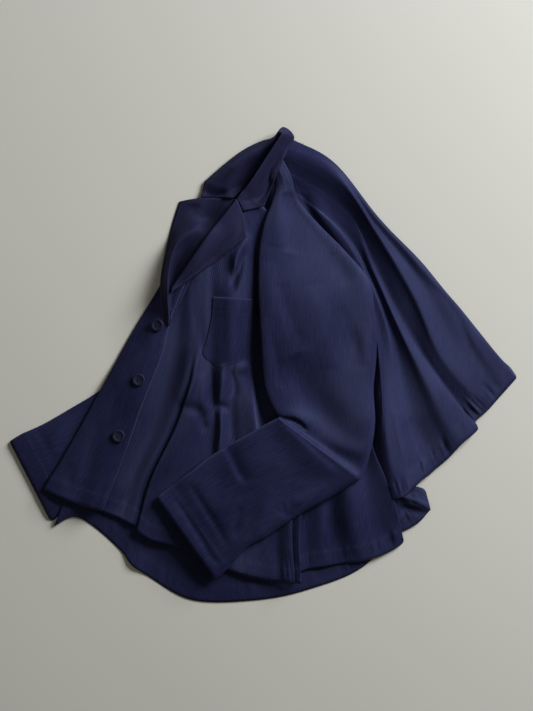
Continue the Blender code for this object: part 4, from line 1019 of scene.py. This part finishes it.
def set_mesh(name, vertices, faces, material, uv=None):
    """A mesh object at the origin from millimetre vertices, smooth, with its uv given face by face."""
    mesh = bpy.data.meshes.new(name)
    mesh.from_pydata((np.asarray(vertices).reshape(-1, 3) * MM).tolist(), [], faces)
    mesh.materials.append(material)
    mesh.shade_smooth()
    if uv is not None:
        layer = mesh.uv_layers.new(name="cloth")
        layer.data.foreach_set("uv", (uv * MM).ravel())
    thing = bpy.data.objects.new(name, mesh)
    bpy.context.scene.collection.objects.link(thing)
    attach(thing, "root")
    return thing


def squares(table, side=1):
    """The four corners of each square of a grid's table, in the order that faces it outwards."""
    corners = (table[:-1, :-1], table[1:, :-1], table[1:, 1:], table[:-1, 1:])
    return np.stack(corners[::side], axis=2)


def cloth_piece(name, grid, replaced):
    """A shell from the grid of a piece's outer surface, thickened inwards by Solidify.

    Its uv is the distance across the grain and down it.  A panel's lines run down the grain, the
    sections of a sleeve and of the collar across it.
    """
    lines, places, _ = grid.shape
    number = np.arange(lines * places).reshape(lines, places)
    if name in SLEEVES:
        number[:, -1] = number[:, 0]
    spread = measured(grid)
    flat = np.stack([spread["first"], -spread["top"]], axis=-1)
    if name in SLEEVES or name == "collar":
        flat = flat[..., ::-1]
    used, number = np.unique(number, return_inverse=True)
    faces = squares(number.reshape(lines, places), SIDE[name]).reshape(-1, 4).tolist()
    uv = squares(flat, SIDE[name]).reshape(-1, 2)
    # The collar and lapels take the darker copy of the drill, whose colour is painted shade.
    material = pressed_shaded_drill if name in PRESSED_AND_SHADED else drill
    thing = set_mesh("cloth_" + name, grid.reshape(-1, 3)[used], faces, material, uv)
    shell = thing.modifiers.new("cloth", "SOLIDIFY")
    shell.thickness = (POCKET_CLOTH if name == "pocket" else CLOTH) * MM
    shell.offset = -1.0
    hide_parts(replaced)
    return thing


def finished(name, grid, upward=False):
    """A panel with its creases, gentle unevenness and hems added along its own normal.

    One made upward has them added straight up, and none that go down.  A crease may lower the cloth
    to 1.5 mm over the surface it is drawn from.
    """
    side, seed = GRIDS[name][:2]
    out = normals(grid, side)
    if upward:
        out = np.zeros_like(out) + UP
    spread = measured(grid)
    height = SOFTNESS[name] * uneven(spread["first"], spread["top"], seed)
    for edge, *about in EDGES[name]:
        along = spread["first"][:, -1:] if edge == "hem" else spread["first"][:, :1]
        if edge in ("first", "last"):
            along = spread["top"][:1] if edge == "first" else spread["top"][-1:]
        height = height + hemmed(spread[edge], along, about, seed + 7)
    if upward:
        height = np.maximum(height, 0.0)
    made = grid + out * height[..., None]
    lowest = np.minimum(made[..., 2], LOWEST_CREASE)
    made[..., 2] = np.maximum(made[..., 2] + creased(grid, CREASES.get(name, ())), lowest)
    return made


def stitching(name, rows):
    """One piece of thread from rows of stitches, each its vertices and its faces."""
    vertices, faces, start = [], [], 0
    for some, few in rows:
        vertices.append(some)
        faces += [[v + start for v in face] for face in few]
        start += len(some)
    thing = set_mesh(name, np.concatenate(vertices), faces, thread)
    return thing


def sew(name, grid):
    """All the stitches of a panel, one piece: rows along its edges and its own seams."""
    spread = measured(grid)
    out = normals(grid, SIDE[name])
    if name == "back_under":
        out = -out      # its outer side is the one it lies on
    rows = []
    for edge, _, _, lines, _, _ in EDGES[name]:
        for distance in lines:
            path = line_from_edge(spread, edge, distance)
            rows.append(stitches(on_grid(grid, path), on_grid(out, path)))
    seen = grid[:, : RIGHT_END + 1]     # a sleeve's upper side, or the back near the neck
    for points in SEAMS.get(name, ()):
        line = on_top(seen, through(np.array(points, float), [SEAM_STEPS] * (len(points) - 1)))
        rows.append(stitches(line, np.zeros_like(line) + UP))
    return stitching("stitching_" + name, rows)


def pocket_on(front):
    """The pocket's surface: straight across between its two edges, over the front it is sewn to."""
    _, _, lines, along = GRIDS["pocket"]
    edges = through(np.array([row[1:] for row in POCKET], float), along)
    share = np.linspace(0, 1, lines)[:, None, None]
    place = edges[:, 0] + share * (edges[:, 1] - edges[:, 0])
    grid = np.concatenate([place, np.zeros(place.shape[:2] + (1,))], axis=-1)
    grid[..., 2] = on_slopes(front, grid) + POCKET_CLOTH + POCKET_LIFT
    return finished("pocket", grid)


drill = cotton_drill("navy_cotton_drill", "#191a36", "#2a2c4c", 0.37)
# The same drill, darker and browner, for the collar and lapels: the darker colour is painted shade, and the
# lower gloss is the pressed cloth's own.
pressed_shaded_drill = cotton_drill("navy_cotton_drill_pressed_painted_shade", "#1a1931", "#272641", 0.2)
thread = cotton_thread("navy_cotton_thread", "#20223f", "#2b2e4c")
resin = moulded_resin("navy_cast_resin", "#15162b", "#1d1e38")
board = painted_board("pale_painted_board", "#cdccc4", "#d3d2ca")

pile = Pile()
turn = [row[0] for row in BACK].index("floor, outer")

right_sleeve = finished("sleeve_right", tube("sleeve_right", SLEEVE_RIGHT, True))
right_sleeve[..., 2] = np.maximum(right_sleeve[..., 2], 0.0)
pile.add(right_sleeve)

under = lay(finished("back_under", panel("back_under", BACK[turn:]), True), pile)
over = lay(finished("back", panel("back", BACK[: turn + 1])), pile)
pile.add(under + (0.0, 0.0, CLOTH))
pile.add(over)

left_front = lay(finished("front_left", panel("front_left", FRONT_LEFT)), pile)
pile.add(left_front)
right_front = lay(finished("front_right", panel("front_right", FRONT_RIGHT)), pile)
pile.add(right_front)

patch = pocket_on(left_front)
pile.add(patch)

right_facing = lay(finished("facing_right", panel("facing_right", FACING_RIGHT)), pile)
right_facing = seat(right_facing, pile)
pile.add(right_facing)
left_facing = lay(finished("facing_left", panel("facing_left", FACING_LEFT)), pile)
left_facing = seat(left_facing, pile)

left_sleeve = settle_tube(finished("sleeve_left", tube("sleeve_left", SLEEVE_LEFT, False)), pile)
pile.add(left_sleeve)
neck = seat(settle(finished("collar", panel("collar", COLLAR)), pile, WALL), pile)
neck = joined(neck, right_facing[:, 0], left_facing[:, 0], GRIDS["collar"][-1][0])
pile.add(left_facing)
pile.add(neck)

# The pieces: name, surface, the node it stands for, how it is held and what it rests on.
MADE = (
    ("sleeve_right", right_sleeve, "sleeve_right", "laid", ()),
    ("back_under", under, "back", "folded", ("sleeve_right",)),
    ("back", over, "back", "folded", ("back_under",)),
    ("front_left", left_front, "front_left", "folded", ("back",)),
    ("front_right", right_front, "front_right", "folded", ("front_left", "sleeve_right")),
    ("pocket", patch, "pocket", "laid", ("front_left",)),
    ("facing_right", right_facing, "facing_right", "folded", ("front_right",)),
    ("facing_left", left_facing, "facing_left", "laid", ("front_left",)),
    ("sleeve_left", left_sleeve, "sleeve_left", "folded", ("front_left", "back")),
    ("collar", neck, "collar", "folded", ("back", "facing_left")),
)
for name, grid, replaced, held, below in MADE:
    piece = cloth_piece(name, grid, replaced)
    sewn = sew(name, grid)


BUTTON_RADIUS = 9.5

# BUTTON_PROFILE.  From the middle of the face out over the rim to the middle of the flat underside:
# radius and height.  The last two points are joined to the rest by sharp edges.
BUTTON_PROFILE = (
    (0.0, 1.9), (2.6, 1.85), (4.2, 1.9), (5.4, 2.1), (6.4, 2.5), (7.4, 2.75), (8.5, 2.65),
    (9.2, 2.2), (BUTTON_RADIUS, 1.5), (9.1, 0.6), (8.0, 0.0), (0.0, 0.0),
)
BUTTON_TURN = 48        # steps round a button
PROFILE_STEPS = 3       # steps between the points of its profile
UNDER_STEPS = 4         # its profile's last points, which no hole reaches
HOLE_RING = 1.9         # the four holes' distance from the middle of the button
HOLE_RADIUS = 0.85
HOLE_DEPTH = 1.5


def rested(centre, pile):
    """Where a button lies on the pile: the place of its middle, and the cloth's slope in x and y."""
    x, y = centre
    reach = np.array([[0, 0], [1, 0], [-1, 0], [0, 1], [0, -1]]) * BUTTON_RADIUS
    height = pile.under(x + reach[:, 0], y + reach[:, 1], 1)
    slope = np.array([height[1] - height[2], height[3] - height[4]]) / (2 * BUTTON_RADIUS)
    base = height[0] + (height - height[0] - reach @ slope).max()
    return np.array([x, y, base]), slope


def button_disc(name, place, slope):
    """A turned dished button: its profile carried round a circle, and tilted with the cloth.

    Each of four holes lowers its face by HOLE_DEPTH times exp(-(d/HOLE_RADIUS) to the fourth), where
    d is the distance from the hole's middle.
    """
    points = np.array(BUTTON_PROFILE, float)
    profile = through(points[:-2], [PROFILE_STEPS] * (len(points) - 3))
    profile = np.concatenate([profile, points[-2:]])
    angle = np.arange(BUTTON_TURN + 1) * 2 * np.pi / BUTTON_TURN
    x = profile[:, :1] * np.cos(angle)
    y = profile[:, :1] * np.sin(angle)
    z = np.repeat(profile[:, 1:], BUTTON_TURN + 1, axis=1)
    face = np.arange(len(profile))[:, None] < len(profile) - UNDER_STEPS
    for k in range(4):
        turned = math.pi / 4 + k * math.pi / 2
        far = np.hypot(x - HOLE_RING * math.cos(turned), y - HOLE_RING * math.sin(turned))
        z = z - np.where(face, HOLE_DEPTH * np.exp(-((far / HOLE_RADIUS) ** 4)), 0.0)
    vertices = np.stack([x, y, z + x * slope[0] + y * slope[1]], axis=-1) + place
    number = np.arange(x.size).reshape(x.shape)
    number[:, -1] = number[:, 0]
    number[0] = number[0, 0]
    number[-1] = number[-1, 0]
    used, number = np.unique(number, return_inverse=True)
    corners = squares(number.reshape(x.shape)).reshape(-1, 4).tolist()
    faces = [list(dict.fromkeys(square)) for square in corners]
    disc = set_mesh("resin_" + name, vertices.reshape(-1, 3)[used], faces, resin)
    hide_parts(name)


def button_thread(name, place, slope):
    """Two bars of two stitches from hole to hole, each arched by half a millimetre at its middle."""
    across = np.linspace(-1, 1, 5)
    rows = []
    for side in (-1, 1):
        for shift in (-0.25, 0.25):
            beside = np.full(5, side * HOLE_RING * 0.72 + shift)
            line = np.column_stack([across * HOLE_RING * 0.9, beside, 1.6 + 0.5 * (1 - across**2)])
            line[:, 2] += line[:, :2] @ slope
            rows.append(stitches(line + place, np.zeros((5, 3)) + UP, 3.3, 3.3, 0.3))
    stitching("thread_" + name, rows)


for name, centre in BUTTONS:
    place, slope = rested(centre, pile)
    button_disc(name, place, slope)
    button_thread(name, place, slope)

FLOOR_HALF = 6.0        # metres from the middle of the pale surface to its edges
FLOOR_DROP = 0.0004     # metres it lies under the garment, so that the two don't flicker
CAMERA_HEIGHT = 3.0     # metres over the cloth's middle, and that over the surface
CLOTH_MIDDLE = 0.01
SENSOR = 36.0

floor_mesh = bpy.data.meshes.new("pale_surface")
floor_mesh.from_pydata(
    [(x * FLOOR_HALF, y * FLOOR_HALF, -FLOOR_DROP) for x, y in ((-1, -1), (1, -1), (1, 1), (-1, 1))],
    [],
    [(0, 1, 2, 3)],
)
floor_mesh.materials.append(board)
floor = bpy.data.objects.new("pale_surface", floor_mesh)
bpy.context.scene.collection.objects.link(floor)

frame_high = PHOTO[1] * PIXEL * MM
centre_x = (PHOTO[0] / 2 - ORIGIN_PIXEL[0]) * PIXEL * MM
centre_y = (ORIGIN_PIXEL[1] - PHOTO[1] / 2) * PIXEL * MM
camera_data = bpy.data.cameras.new("camera")
camera_data.sensor_fit = "VERTICAL"
camera_data.sensor_height = SENSOR
camera_data.sensor_width = SENSOR
camera_data.lens = SENSOR * CAMERA_HEIGHT / frame_high
camera_data.clip_end = 50.0
camera = bpy.data.objects.new("camera", camera_data)
bpy.context.scene.collection.objects.link(camera)
camera.location = (centre_x, centre_y, CAMERA_HEIGHT + CLOTH_MIDDLE)
bpy.context.scene.camera = camera


def area_light(name, place, aim, size, power, colour):
    """A square soft light at a place in metres, turned to face a point."""
    data = bpy.data.lights.new(name, "AREA")
    data.shape = "SQUARE"
    data.size = size
    data.energy = power
    data.color = linear(colour)[:3]
    lamp = bpy.data.objects.new(name, data)
    bpy.context.scene.collection.objects.link(lamp)
    lamp.location = place
    away = np.array(place) - np.array(aim)
    lamp.rotation_mode = "QUATERNION"
    lamp.rotation_quaternion = mathutils.Vector(away).to_track_quat("Z", "Y")


area_light("window", (2.35, 1.95, 1.45), (0.0, 0.0, 0.0), 1.5, 180.0, "#fbfdff")
area_light("ceiling", (-0.6, -0.3, 2.6), (0.0, 0.0, 0.0), 2.5, 3.0, "#fff6e6")

world = bpy.data.worlds.new("room")
world.use_nodes = True
world.node_tree.nodes["Background"].inputs["Color"].default_value = linear("#e6dfd0")
world.node_tree.nodes["Background"].inputs["Strength"].default_value = 0.11
bpy.context.scene.world = world
bpy.context.scene.view_settings.view_transform = "Standard"
